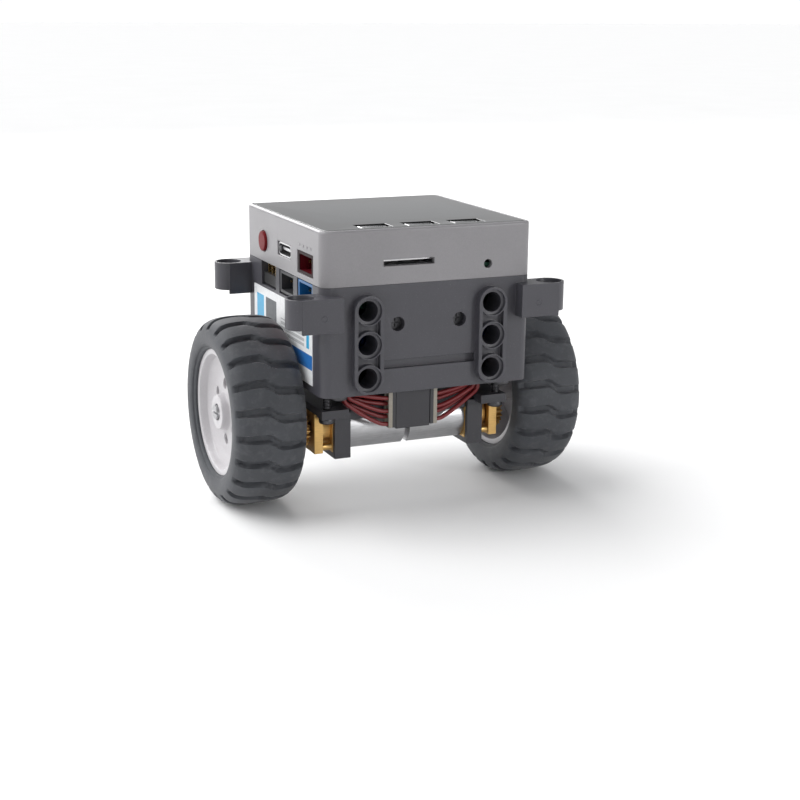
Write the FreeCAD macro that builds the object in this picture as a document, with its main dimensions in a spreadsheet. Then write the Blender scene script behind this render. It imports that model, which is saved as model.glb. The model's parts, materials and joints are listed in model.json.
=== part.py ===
import FreeCAD, Part
import math
import os
import Sketcher

# Two wheel robot car, millimetres. X runs from the left wheel to the right one, +Y towards the
# back, +Z up. The origin is on the ground, midway between the wheels under the axle.

SIZES = [
    # the stacked units
    ("unit_width", 54.0, "side of the square control unit and base"),
    ("unit_corner", 2.5, "radius of the upright corners"),
    ("base_low", 31.2, "underside of the base above the ground"),
    ("seam_level", 57.2, "where the control unit sits on the base"),
    ("top_level", 70.2, "top of the control unit"),
    ("wall_size", 1.8, "wall of the base"),
    ("shell_wall", 1.6, "wall of the control unit"),
    ("plate_low", 67.6, "underside of the control unit's top plate"),
    # the glass and keys
    ("glass_side", 51.4, "side of the glass"),
    ("glass_thick", 1.2, "thickness of the glass"),
    ("fit_gap", 0.1, "gap round a fitted piece"),
    ("key_width", 7.6, "front key along X"),
    ("key_depth", 4.6, "front key along Y"),
    ("key_pitch", 12.0, "from key to key"),
    ("key_back", 21.1, "from the centre to the row of keys"),
    ("key_gap", 0.2, "gap round a key"),
    # brick pitch interfaces
    ("brick_pitch", 8.0, "pitch of the brick holes"),
    ("brick_hole", 2.4, "radius of a brick hole"),
    ("brick_sink", 3.1, "radius of a brick hole's counterbore"),
    ("sink_depth", 0.9, "depth of that counterbore"),
    ("brick_outer", 3.7, "outer radius of a boss or lug"),
    ("boss_reach", 29.0, "front of the bosses from the centre"),
    ("boss_back", 21.0, "inner end of the bosses"),
    ("boss_place", 16.0, "bosses left and right of the centre"),
    ("boss_middle", 43.5, "height of the middle hole"),
    ("lug_place", 32.0, "lug holes left and right of the centre"),
    ("lug_front", 26.8, "lug holes in front of and behind the centre"),
    ("lug_low", 48.5, "underside of a lug's ring"),
    ("lug_high", 55.5, "top of a lug"),
    # screws that stack the units
    ("column_x", 21.5, "long screws left and right"),
    ("column_y", 23.3, "long screws front and back"),
    ("column_outer", 2.45, "radius of a screw column"),
    ("column_bore", 1.35, "radius of a column's bore"),
    # drive
    ("axle_level", 23.2, "height of the wheel axles"),
    ("axle_radius", 2.0, "radius of a wheel axle"),
    ("running_gap", 0.05, "radial clearance of a turning shaft"),
    ("gear_module", 0.4, "module of the gear pair"),
    ("gear_width", 2.0, "face width of the gears"),
    ("gear_start", 25.1, "inner face of the gears"),
    ("motor_drop", 3.7, "motor shaft below the wheel axle"),
    ("motor_inner", 0.6, "inner end of a motor can"),
    ("can_length", 15.0, "length of a motor can"),
    ("box_length", 9.0, "length of a gearbox"),
    ("motor_wide", 12.0, "motor along Y"),
    ("motor_tall", 10.0, "motor along Z"),
    ("shaft_radius", 1.5, "radius of the motor shaft"),
    ("flange_low", 24.6, "underside of the drive frame's plate"),
    ("flange_high", 26.4, "top of the drive frame's plate"),
    ("hang_x", 22.5, "drive screws left and right"),
    ("hang_y", 18.2, "drive screws front and back"),
    # wheels
    ("tread_radius", 23.2, "radius over the tread"),
    ("tyre_inner_face", 28.0, "inner face of a tyre"),
    ("tyre_outer_face", 46.0, "outer face of a tyre"),
    ("rim_radius", 15.6, "outside of the rim under the tyre"),
    ("tread_depth", 1.3, "depth of the tread grooves"),
    ("groove_width", 2.1, "width of a tread groove"),
]
TREAD_BLOCKS = 22
WHEEL_TEETH = 31
PINION_TEETH = 20
PRESSURE_ANGLE = math.radians(20)
TOOTH_THINNING = 0.05
SIDES = (("left", -1), ("right", 1))
ENDS = (("front", -1), ("back", 1))

doc = FreeCAD.newDocument("TwoWheelRobotCar")
sheet = doc.addObject("Spreadsheet::Sheet", "Dims")


class Dim:
    """A length that keeps its number together with the sheet expression it comes from."""

    def __init__(self, number, text):
        self.number = number
        self.text = text

    def joined(self, sign, other, number):
        return Dim(number, f"({self.text} {sign} {as_dim(other).text})")

    def __add__(self, other):
        return self.joined("+", other, self.number + as_dim(other).number)

    def __sub__(self, other):
        return self.joined("-", other, self.number - as_dim(other).number)

    def __mul__(self, other):
        return self.joined("*", other, self.number * as_dim(other).number)

    def __truediv__(self, other):
        return self.joined("/", other, self.number / as_dim(other).number)

    def __neg__(self):
        return Dim(-self.number, f"(0 - {self.text})")

    __radd__ = __add__
    __rmul__ = __mul__

    def __rsub__(self, other):
        return as_dim(other) - self


def as_dim(value):
    if isinstance(value, Dim):
        return value
    return Dim(float(value), f"({float(value)})")


def fill_sheet():
    """Writes the sizes into the sheet and returns them by name."""
    found = {}
    for row, (alias, value, note) in enumerate(SIZES, 1):
        sheet.set(f"A{row}", alias)
        sheet.set(f"B{row}", str(value))
        sheet.set(f"C{row}", note)
        sheet.setAlias(f"B{row}", alias)
        found[alias] = Dim(value, f"Dims.{alias}")
    doc.recompute()
    return found


D = fill_sheet()
parts = {}


def bind(obj, path, value):
    obj.setExpression(path, as_dim(value).text)


def finish_part(obj, name):
    """Gives a sub-part its name and lists it for checking and writing."""
    obj.Label = name
    parts[name] = obj
    return obj


# ---------------------------------------------------------------- Part primitives


def put(obj, x, y, z, rotation=None):
    spot = FreeCAD.Vector(as_dim(x).number, as_dim(y).number, as_dim(z).number)
    obj.Placement = FreeCAD.Placement(spot, rotation or FreeCAD.Rotation())
    for letter, value in zip("xyz", (x, y, z)):
        bind(obj, f"Placement.Base.{letter}", value)
    return obj


def block(x, y, z, name="Block"):
    """A box between two limits along each axis."""
    obj = doc.addObject("Part::Box", name)
    for prop, (low, high) in zip(("Length", "Width", "Height"), (x, y, z)):
        bind(obj, prop, as_dim(high) - low)
    return put(obj, x[0], y[0], z[0])


TURNS = {
    "x": FreeCAD.Rotation(FreeCAD.Vector(0, 1, 0), 90),
    "y": FreeCAD.Rotation(FreeCAD.Vector(1, 0, 0), -90),
    "z": FreeCAD.Rotation(),
}


def rod(axis, start, radius, length, name="Rod"):
    """A cylinder from start along +X, +Y or +Z."""
    obj = doc.addObject("Part::Cylinder", name)
    bind(obj, "Radius", radius)
    bind(obj, "Height", length)
    return put(obj, *start, rotation=TURNS[axis])


def rod_between(side, low, high, y, z, radius, name="Rod"):
    """A cylinder along X from low to high, measured outwards from the centre on one side."""
    start = low if side > 0 else -as_dim(high)
    return rod("x", (start, y, z), radius, as_dim(high) - low, name)


def span(side, low, high):
    """Limits along X that run from low to high outwards on one side."""
    return (low, high) if side > 0 else (-as_dim(high), -as_dim(low))


def joined(shapes, name="Joined"):
    if len(shapes) == 1:
        return shapes[0]
    obj = doc.addObject("Part::MultiFuse", name)
    obj.Shapes = shapes
    obj.Refine = True
    return obj


def grouped(shapes, name="Group"):
    """Separate solids kept apart in one node."""
    obj = doc.addObject("Part::Compound", name)
    obj.Links = shapes
    return obj


def without(base, tools, name="Without"):
    obj = doc.addObject("Part::Cut", name)
    obj.Base = base
    obj.Tool = joined(tools)
    return obj


def softened(base, radius, test, name="Softened"):
    """Part fillet on the edges of base that pass a test."""
    doc.recompute()
    obj = doc.addObject("Part::Fillet", name)
    obj.Base = base
    found = [i for i, edge in enumerate(base.Shape.Edges, 1) if test(edge)]
    obj.Edges = [(i, radius, radius) for i in found]
    return obj


# ---------------------------------------------------------------- PartDesign helpers


def new_body(name):
    return doc.addObject("PartDesign::Body", name + "_body")


def sketch_on(body, role, offset, name):
    """A sketch on one of the body's own origin planes, moved along its normal by offset."""
    plane = next(f for f in body.Origin.OriginFeatures if f.Role == role)
    sketch = body.newObject("Sketcher::SketchObject", name)
    sketch.AttachmentSupport = (plane, "")
    sketch.MapMode = "FlatFace"
    bind(sketch, "AttachmentOffset.Base.z", offset)
    return sketch


def pin_point(sketch, geometry, position, x, y):
    """Fixes a point of the sketch at x, y from its origin."""
    for kind, value in (("DistanceX", x), ("DistanceY", y)):
        value = as_dim(value)
        constraint = Sketcher.Constraint(kind, -1, 1, geometry, position, value.number)
        index = sketch.addConstraint(constraint)
        sketch.setExpression(f"Constraints[{index}]", value.text)


def add_outline(sketch, points):
    """A closed outline of straight lines through the points."""
    flat = [FreeCAD.Vector(as_dim(x).number, as_dim(y).number, 0) for x, y in points]
    lines = []
    for i, point in enumerate(flat):
        follower = flat[(i + 1) % len(flat)]
        lines.append(sketch.addGeometry(Part.LineSegment(point, follower), False))
    for i, line in enumerate(lines):
        next_line = lines[(i + 1) % len(lines)]
        sketch.addConstraint(Sketcher.Constraint("Coincident", line, 2, next_line, 1))
    for line, (x, y) in zip(lines, points):
        pin_point(sketch, line, 1, x, y)


def add_rectangle(sketch, x, y):
    add_outline(sketch, [(x[0], y[0]), (x[1], y[0]), (x[1], y[1]), (x[0], y[1])])


def add_square(sketch, side):
    half = as_dim(side) / 2
    add_rectangle(sketch, (-half, half), (-half, half))


def add_circle(sketch, x, y, radius):
    centre = FreeCAD.Vector(as_dim(x).number, as_dim(y).number, 0)
    circle = Part.Circle(centre, FreeCAD.Vector(0, 0, 1), as_dim(radius).number)
    geometry = sketch.addGeometry(circle, False)
    index = sketch.addConstraint(
        Sketcher.Constraint("Radius", geometry, as_dim(radius).number)
    )
    sketch.setExpression(f"Constraints[{index}]", as_dim(radius).text)
    pin_point(sketch, geometry, 3, x, y)


def pad(body, sketch, length):
    feature = body.newObject("PartDesign::Pad", sketch.Name + "_pad")
    feature.Profile = sketch
    bind(feature, "Length", length)
    doc.recompute()
    return feature


def pocket(body, sketch, length, along_normal=False):
    """Cuts opposite to the sketch's normal, or along it, and checks that material went."""
    before = body.Shape.Volume
    feature = body.newObject("PartDesign::Pocket", sketch.Name + "_pocket")
    feature.Profile = sketch
    feature.Reversed = along_normal
    bind(feature, "Length", length)
    doc.recompute()
    if body.Shape.Volume > before - 1e-3:
        raise RuntimeError(f"{feature.Name} cut nothing")
    return feature


def fillet(body, radius, test):
    """Rounds the edges of the body's shape that pass a test."""
    base = body.Tip
    names = [f"Edge{i}" for i, edge in enumerate(base.Shape.Edges, 1) if test(edge)]
    feature = body.newObject("PartDesign::Fillet", "Fillet")
    feature.Base = (base, names)
    bind(feature, "Radius", radius)
    doc.recompute()
    return feature


def revolve(body, sketch, axis_role):
    feature = body.newObject("PartDesign::Revolution", sketch.Name + "_turned")
    feature.Profile = sketch
    axis = next(f for f in body.Origin.OriginFeatures if f.Role == axis_role)
    feature.ReferenceAxis = (axis, [""])
    feature.Angle = 360
    doc.recompute()
    return feature


def repeat_round(body, feature, axis_role, count):
    pattern = body.newObject("PartDesign::PolarPattern", feature.Name + "_round")
    pattern.Originals = [feature]
    axis = next(f for f in body.Origin.OriginFeatures if f.Role == axis_role)
    pattern.Axis = (axis, [""])
    pattern.Angle = 360
    pattern.Occurrences = count
    body.Tip = pattern
    doc.recompute()
    return pattern


def straight_along(edge, axis):
    """True for a straight edge along the X, Y or Z axis."""
    if edge.Curve.TypeId != "Part::GeomLine":
        return False
    return abs(getattr(edge.Curve.Direction, axis)) > 0.999


def upright(edge):
    return straight_along(edge, "z")


def outer_corner(edge):
    """An upright edge at one of the unit's four outer corners."""
    reach = D["unit_width"].number / 2 - 0.01
    middle = edge.CenterOfMass
    return upright(edge) and abs(middle.x) > reach and abs(middle.y) > reach


def at_level(level):
    return lambda edge: abs(edge.BoundBox.ZMin - level) < 1e-3 and abs(edge.BoundBox.ZMax - level) < 1e-3


# ---------------------------------------------------------------- control unit

half_unit = D["unit_width"] / 2
top = D["top_level"]
seam = D["seam_level"]

PORT_Y = (-21.2, -10.7)
PORT_Z = (58.5, 63.9)
USB_Y = (-5.9, 3.1)
USB_Z = (60.7, 63.9)
POWER_KEY_Y = 13.5
POWER_KEY_Z = 62.4
CARD_X = (-11.7, 1.2)
CARD_Z = (61.5, 63.0)
EYE_X = 15.3
EYE_Z = 60.6
SCREEN_X = (-22.4, 22.4)
SCREEN_Y = (-15.9, 20.7)
BOARD_LOW = 59.4
BOARD_HIGH = 60.6


def key_window_places():
    return [(name, D["key_pitch"] * k) for name, k in (("left", -1), ("middle", 0), ("right", 1))]


def make_core_case():
    body = new_body("core_case")
    outline = sketch_on(body, "XY_Plane", seam, "CaseOutline")
    add_square(outline, D["unit_width"])
    pad(body, outline, top - seam)
    fillet(body, D["unit_corner"], outer_corner)
    fillet(body, 0.7, at_level(top.number))
    hollow = sketch_on(body, "XY_Plane", seam, "CaseHollow")
    add_square(hollow, D["unit_width"] - D["shell_wall"] * 2)
    pocket(body, hollow, D["plate_low"] - seam, along_normal=True)
    recess = sketch_on(body, "XY_Plane", top, "GlassRecess")
    add_square(recess, D["glass_side"] + D["fit_gap"] * 2)
    pocket(body, recess, D["glass_thick"])
    window = sketch_on(body, "XY_Plane", top, "PlateWindows")
    add_rectangle(window, (SCREEN_X[0] - 0.2, SCREEN_X[1] + 0.2), (SCREEN_Y[0] - 0.2, SCREEN_Y[1] + 0.2))
    reach_x = D["key_width"] / 2 + D["key_gap"]
    reach_y = D["key_depth"] / 2 + D["key_gap"]
    for _, x in key_window_places():
        y_range = (-D["key_back"] - reach_y, reach_y - D["key_back"])
        add_rectangle(window, (x - reach_x, x + reach_x), y_range)
    pocket(body, window, top - D["plate_low"])
    # posts for the long screws, and two short ones that carry the key board
    posts = sketch_on(body, "XY_Plane", seam, "CasePosts")
    for _, side in SIDES:
        for _, end in ENDS:
            add_circle(posts, D["column_x"] * side, D["column_y"] * end, D["column_outer"])
    pad(body, posts, D["plate_low"] - seam)
    bores = sketch_on(body, "XY_Plane", seam, "CaseBores")
    for _, side in SIDES:
        for _, end in ENDS:
            add_circle(bores, D["column_x"] * side, D["column_y"] * end, 1.25)
    pocket(body, bores, 7.0, along_normal=True)
    hangers = sketch_on(body, "XY_Plane", 64.2, "KeyBoardPosts")
    for _, side in SIDES:
        add_rectangle(hangers, (6 * side - 0.9, 6 * side + 0.9), (-24.0, -18.2))
    pad(body, hangers, D["plate_low"] - 64.2)
    # openings in the front wall
    front = sketch_on(body, "XZ_Plane", half_unit, "FrontOpenings")
    add_rectangle(front, CARD_X, CARD_Z)
    add_circle(front, EYE_X, EYE_Z, 1.05)
    pocket(body, front, D["shell_wall"])
    # openings in the left wall
    left = sketch_on(body, "YZ_Plane", -half_unit, "LeftOpenings")
    add_rectangle(left, PORT_Y, PORT_Z)
    add_rectangle(left, (USB_Y[0] - 0.1, USB_Y[1] + 0.1), (USB_Z[0] - 0.1, USB_Z[1] + 0.1))
    add_circle(left, POWER_KEY_Y, POWER_KEY_Z, 2.65)
    pocket(body, left, D["shell_wall"], along_normal=True)
    finish_part(body, "core_case")


def make_screen_glass():
    body = new_body("screen_glass")
    outline = sketch_on(body, "XY_Plane", top - D["glass_thick"], "GlassOutline")
    add_square(outline, D["glass_side"])
    pad(body, outline, D["glass_thick"])
    fillet(body, 1.2, upright)
    keys = sketch_on(body, "XY_Plane", top, "GlassKeyHoles")
    reach_x = D["key_width"] / 2 + D["key_gap"]
    reach_y = D["key_depth"] / 2 + D["key_gap"]
    for _, x in key_window_places():
        add_rectangle(keys, (x - reach_x, x + reach_x), (-D["key_back"] - reach_y, reach_y - D["key_back"]))
    pocket(body, keys, D["glass_thick"])
    finish_part(body, "screen_glass")


def make_keys():
    """Three front keys: a cap in the glass on a wider foot under the plate."""
    foot_low = D["plate_low"] - 0.9
    for name, x in key_window_places():
        body = new_body(f"key_{name}")
        cap = sketch_on(body, "XY_Plane", foot_low, f"KeyCap{name}")
        half_x = D["key_width"] / 2
        half_y = D["key_depth"] / 2
        add_rectangle(cap, (x - half_x, x + half_x), (-D["key_back"] - half_y, half_y - D["key_back"]))
        pad(body, cap, top - 0.2 - foot_low)
        fillet(body, 0.3, at_level(top.number - 0.2))
        foot = sketch_on(body, "XY_Plane", foot_low, f"KeyFoot{name}")
        add_rectangle(
            foot,
            (x - half_x - 0.9, x + half_x + 0.9),
            (-D["key_back"] - half_y - 0.8, half_y + 0.8 - D["key_back"]),
        )
        pad(body, foot, 0.8)
        finish_part(body, f"key_{name}")


def make_core_inside():
    board = block((-25.2, 25.2), (-25.2, 25.2), (BOARD_LOW, BOARD_HIGH))
    notches = [
        rod("z", (D["column_x"] * side, D["column_y"] * end, BOARD_LOW - 1), 2.6, 4)
        for _, side in SIDES
        for _, end in ENDS
    ]
    notches.append(block((-26, -17.6), (-26, -10.3), (BOARD_LOW - 1, BOARD_HIGH + 1)))
    notches.append(block((-26, -23.4), (9.8, 17.2), (BOARD_LOW - 1, BOARD_HIGH + 1)))
    finish_part(without(board, notches, "MainBoard"), "main_board")
    finish_part(block(SCREEN_X, SCREEN_Y, (65.4, 68.9), "Screen"), "screen_module")
    finish_part(block((-17.5, 17.5), (-24.6, -17.4), (63.2, 64.2), "KeyBoard"), "key_board")
    switches = []
    for _, x in key_window_places():
        body = block((x - 2.2, x + 2.2), (-22.9, -19.3), (64.2, 65.6))
        plunger = rod("z", (x, -D["key_back"], 65.6), 0.9, 0.5)
        switches.append(joined([body, plunger]))
    finish_part(grouped(switches, "KeySwitches"), "key_switches")
    # the power key slides in through the left wall
    cap = rod("x", (-27.6, POWER_KEY_Y, POWER_KEY_Z), 2.5, 2.5)
    foot = rod("x", (-25.3, POWER_KEY_Y, POWER_KEY_Z), 3.2, 0.7)
    finish_part(joined([cap, foot], "PowerKey"), "power_key")
    switch_box = block((-22.9, -19.5), (11.5, 15.5), (BOARD_HIGH, 64.4))
    switch_plunger = rod("x", (-23.7, POWER_KEY_Y, POWER_KEY_Z), 0.9, 0.8)
    finish_part(joined([switch_box, switch_plunger], "PowerSwitch"), "power_switch")
    # USB socket: a hollow metal shell with a tongue
    shell = softened(
        block((-26.7, -19.4), USB_Y, USB_Z), 1.4, lambda edge: straight_along(edge, "x")
    )
    inner_y = (USB_Y[0] + 0.35, USB_Y[1] - 0.35)
    inner_z = (USB_Z[0] + 0.35, USB_Z[1] - 0.35)
    mouth = softened(block((-27.0, -20.4), inner_y, inner_z), 1.0, lambda edge: straight_along(edge, "x"))
    tongue = block((-25.9, -20.0), (-4.7, 1.9), (61.95, 62.65))
    finish_part(joined([without(shell, [mouth]), tongue], "UsbSocket"), "usb_socket")
    card = without(
        block((-13.2, 2.7), (-25.2, -11.0), (BOARD_HIGH, 63.1)),
        [block((-11.7, 1.2), (-25.4, -12.0), (CARD_Z[0], 62.4))],
        "CardSocket",
    )
    finish_part(card, "card_socket")
    header = block((17.6, 22.6), (-17.5, 17.5), (51.6, BOARD_LOW), "UnitLink")
    finish_part(header, "unit_link_header")


def make_four_pin_socket(y, z, name):
    """An open four-pin socket that faces the left side."""
    shell = block((-26.8, -18.6), y, z)
    mouth = block((-27.0, -20.0), (y[0] + 0.8, y[1] - 0.8), (z[0] + 0.7, z[1] - 0.7))
    finish_part(without(shell, [mouth], name), name)


def socket_pins(y, z):
    middle_y = (y[0] + y[1]) / 2
    middle_z = (z[0] + z[1]) / 2
    return [
        block((-24.8, -20.0), (at - 0.3, at + 0.3), (middle_z - 0.3, middle_z + 0.3))
        for at in (middle_y - 3, middle_y - 1, middle_y + 1, middle_y + 3)
    ]


# ---------------------------------------------------------------- base

base_low = D["base_low"]
DECK_LOW = seam - D["wall_size"]
BLUE_Y = (-20.6, -10.8)
BLACK_Y = (-7.9, 1.9)
SERVO_Y = (5.0, 15.2)
BASE_PORT_Z = (51.6, 57.0)
WINDOW_LOW = 51.2


def boss_holes():
    """Height of each hole of a boss."""
    return [D["boss_middle"] + D["brick_pitch"] * k for k in (-1, 0, 1)]


def add_boss_row(body, end, tag):
    """Two upright bosses with three brick holes each, on the front (end -1) or the back."""
    normal_face = D["boss_reach"] * -end
    inner_plane = D["boss_back"] if end < 0 else -D["boss_reach"]
    depth = D["boss_reach"] - D["boss_back"]
    half = D["brick_outer"]
    plate = sketch_on(body, "XZ_Plane", inner_plane, f"BossRow{tag}")
    for _, side in SIDES:
        x = D["boss_place"] * side
        low = D["boss_middle"] - D["brick_pitch"] - half
        high = D["boss_middle"] + D["brick_pitch"] + half
        add_rectangle(plate, (x - half, x + half), (low, high))
    pad(body, plate, depth)
    reach = D["boss_reach"].number

    def boss_corner(edge):
        middle = edge.CenterOfMass
        far = abs(middle.z - D["boss_middle"].number) > 11.5
        in_row = abs(abs(middle.x) - 16) > 3.6 and abs(abs(middle.x) - 16) < 3.8
        outside = 20 < middle.y * end < reach
        return straight_along(edge, "y") and far and in_row and outside

    fillet(body, D["brick_outer"] - 0.05, boss_corner)
    # waisted pockets between the rings
    face_plane = normal_face if end < 0 else -(D["boss_reach"] - 1.5)
    waists = sketch_on(body, "XZ_Plane", face_plane, f"Waists{tag}")
    for _, side in SIDES:
        for k in (-0.5, 0.5):
            x = D["boss_place"] * side
            z = D["boss_middle"] + D["brick_pitch"] * k
            add_rectangle(waists, (x - 2.75, x + 2.75), (z - 1.9, z + 1.9))
    pocket(body, waists, 1.5)
    rings_plane = D["boss_reach"] - 1.5 if end < 0 else -D["boss_reach"]
    rings = sketch_on(body, "XZ_Plane", rings_plane, f"Rings{tag}")
    for _, side in SIDES:
        for z in boss_holes():
            add_circle(rings, D["boss_place"] * side, z, 3.4)
    pad(body, rings, 1.5)
    holes_plane = normal_face if end < 0 else -D["boss_back"]
    holes = sketch_on(body, "XZ_Plane", holes_plane, f"BrickHoles{tag}")
    sinks_plane = normal_face if end < 0 else -(D["boss_reach"] - D["sink_depth"])
    sinks = sketch_on(body, "XZ_Plane", sinks_plane, f"BrickSinks{tag}")
    for _, side in SIDES:
        for z in boss_holes():
            add_circle(holes, D["boss_place"] * side, z, D["brick_hole"])
            add_circle(sinks, D["boss_place"] * side, z, D["brick_sink"])
    pocket(body, holes, depth)
    pocket(body, sinks, D["sink_depth"])


def add_lugs(body):
    """Four lugs with an upright brick hole each, on a slightly deeper root."""
    ring_front = D["lug_front"] + D["brick_outer"]
    ring_back = D["lug_front"] - D["brick_outer"]
    roots = sketch_on(body, "XY_Plane", D["lug_low"] - 1, "LugRoots")
    arms = sketch_on(body, "XY_Plane", D["lug_low"], "LugArms")
    rings = sketch_on(body, "XY_Plane", D["lug_low"], "LugRings")
    holes = sketch_on(body, "XY_Plane", D["lug_high"], "LugHoles")
    high_sinks = sketch_on(body, "XY_Plane", D["lug_high"], "LugHighSinks")
    low_sinks = sketch_on(body, "XY_Plane", D["lug_low"] - 1, "LugLowSinks")
    for _, side in SIDES:
        for _, end in ENDS:
            near, far = sorted((ring_back * end, ring_front * end), key=lambda d: d.number)
            add_rectangle(roots, span(side, 22.9, 33.0), (near, far))
            add_rectangle(arms, span(side, 26.0, D["lug_place"]), (near, far))
            x = D["lug_place"] * side
            y = D["lug_front"] * end
            add_circle(rings, x, y, D["brick_outer"])
            add_circle(holes, x, y, D["brick_hole"])
            add_circle(high_sinks, x, y, D["brick_sink"])
            add_circle(low_sinks, x, y, D["brick_sink"])
    height = D["lug_high"] - D["lug_low"]
    pad(body, roots, height + 1)
    pad(body, arms, height)
    pad(body, rings, height)
    pocket(body, holes, height + 1)
    pocket(body, high_sinks, D["sink_depth"])
    pocket(body, low_sinks, D["sink_depth"], along_normal=True)


def make_base_case():
    body = new_body("base_case")
    outline = sketch_on(body, "XY_Plane", base_low, "BaseOutline")
    add_square(outline, D["unit_width"])
    pad(body, outline, seam - base_low)
    fillet(body, D["unit_corner"], outer_corner)
    hollow = sketch_on(body, "XY_Plane", base_low, "BaseHollow")
    add_square(hollow, D["unit_width"] - D["wall_size"] * 2)
    pocket(body, hollow, DECK_LOW - base_low, along_normal=True)
    for name, end in ENDS:
        add_boss_row(body, end, name.capitalize())
    add_lugs(body)
    # columns for the long screws, which pass right through
    columns = sketch_on(body, "XY_Plane", base_low + D["wall_size"], "Columns")
    bores = sketch_on(body, "XY_Plane", seam, "ColumnBores")
    for _, side in SIDES:
        for _, end in ENDS:
            add_circle(columns, D["column_x"] * side, D["column_y"] * end, D["column_outer"])
            add_circle(bores, D["column_x"] * side, D["column_y"] * end, D["column_bore"])
    pad(body, columns, DECK_LOW - base_low - D["wall_size"])
    pocket(body, bores, seam - base_low - D["wall_size"])
    # recessed screws in the front wall, on bosses inside
    screw_boss = sketch_on(body, "XZ_Plane", 21.6, "FrontScrewBosses")
    for _, side in SIDES:
        add_circle(screw_boss, 8.0 * side, 47.7, 2.8)
    pad(body, screw_boss, half_unit - 21.6)
    screw_hole = sketch_on(body, "XZ_Plane", half_unit, "FrontScrewHoles")
    screw_pilot = sketch_on(body, "XZ_Plane", half_unit, "FrontScrewPilots")
    for _, side in SIDES:
        add_circle(screw_hole, 8.0 * side, 47.7, 1.7)
        add_circle(screw_pilot, 8.0 * side, 47.7, 0.8)
    pocket(body, screw_hole, 3.2)
    pocket(body, screw_pilot, half_unit - 21.6)
    groove = sketch_on(body, "XZ_Plane", half_unit, "FrontGroove")
    add_rectangle(groove, (-12.2, 12.2), (37.1, 39.2))
    pocket(body, groove, 1.2)
    # openings for the sockets on the left, and through the deck above them
    windows = sketch_on(body, "YZ_Plane", -half_unit, "SocketWindows")
    for y in (BLUE_Y, BLACK_Y, SERVO_Y):
        add_rectangle(windows, (y[0] - 0.2, y[1] + 0.2), (WINDOW_LOW, seam))
    pocket(body, windows, D["wall_size"], along_normal=True)
    deck = sketch_on(body, "XY_Plane", seam, "DeckOpenings")
    add_rectangle(deck, (-25.2, -17.6), (-20.8, 15.4))
    add_rectangle(deck, (17.2, 23.0), (-17.9, 17.9))
    pocket(body, deck, D["wall_size"])
    finish_part(body, "base_case")


def make_base_cover():
    body = new_body("base_cover")
    outline = sketch_on(body, "XY_Plane", base_low, "CoverOutline")
    add_square(outline, D["unit_width"] - D["wall_size"] * 2 - D["fit_gap"] * 2)
    pad(body, outline, D["wall_size"])
    bosses = sketch_on(body, "XY_Plane", base_low, "CoverBosses")
    for _, side in SIDES:
        for _, end in ENDS:
            add_circle(bosses, D["hang_x"] * side, D["hang_y"] * end, 2.0)
    pad(body, bosses, 4.5)
    holes = sketch_on(body, "XY_Plane", base_low, "CoverHoles")
    for _, side in SIDES:
        for _, end in ENDS:
            add_circle(holes, D["column_x"] * side, D["column_y"] * end, D["column_bore"])
            add_circle(holes, D["hang_x"] * side, D["hang_y"] * end, 1.0)
    for _, side in SIDES:
        add_rectangle(holes, (16.8 * side - 1.8, 16.8 * side + 1.8), (-19.8, -15.2))
    pocket(body, holes, 4.5, along_normal=True)
    # notches for the lower ends of the brick-hole bosses
    notches = sketch_on(body, "XY_Plane", base_low, "CoverNotches")
    for _, side in SIDES:
        for _, end in ENDS:
            near, far = sorted((20.8 * end, 26.0 * end))
            add_rectangle(notches, span(side, 12.1, 19.0), (near, far))
    pocket(body, notches, D["wall_size"], along_normal=True)
    finish_part(body, "base_cover")


def make_base_inside():
    finish_part(block((-24.4, 24.4), (-18.4, 18.4), (50.0, 51.6), "DriverBoard"), "driver_board")
    pack = softened(block((-22, 22), (-15.5, 15.5), (37.0, 46.0)), 1.5, lambda edge: True, "Battery")
    finish_part(pack, "battery_pack")
    servo = block((-26.4, -18.8), SERVO_Y, (51.6, 54.4), "ServoHeader")
    finish_part(servo, "servo_header")
    pins = [
        block((x - 0.3, x + 0.3), (y - 0.3, y + 0.3), (54.4, 57.0))
        for x in (-25.3, -22.76, -20.22)
        for y in (6.29, 8.83, 11.37, 13.91)
    ]
    finish_part(grouped(pins, "ServoPins"), "servo_pins")
    label = block((-27.15, -27.0), (-20.9, 20.9), (33.0, 50.6), "Label")
    finish_part(label, "side_label")


def headed_screw(axis, start, head_radius, head_length, shank_radius, shank_length):
    """A screw whose head starts at start and whose shank follows along the axis."""
    head = rod(axis, start, head_radius, head_length)
    shift = {"x": (1, 0, 0), "y": (0, 1, 0), "z": (0, 0, 1)}[axis]
    shank_start = [as_dim(at) + as_dim(head_length) * step for at, step in zip(start, shift)]
    shank = rod(axis, shank_start, shank_radius, shank_length)
    return head, shank


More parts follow.
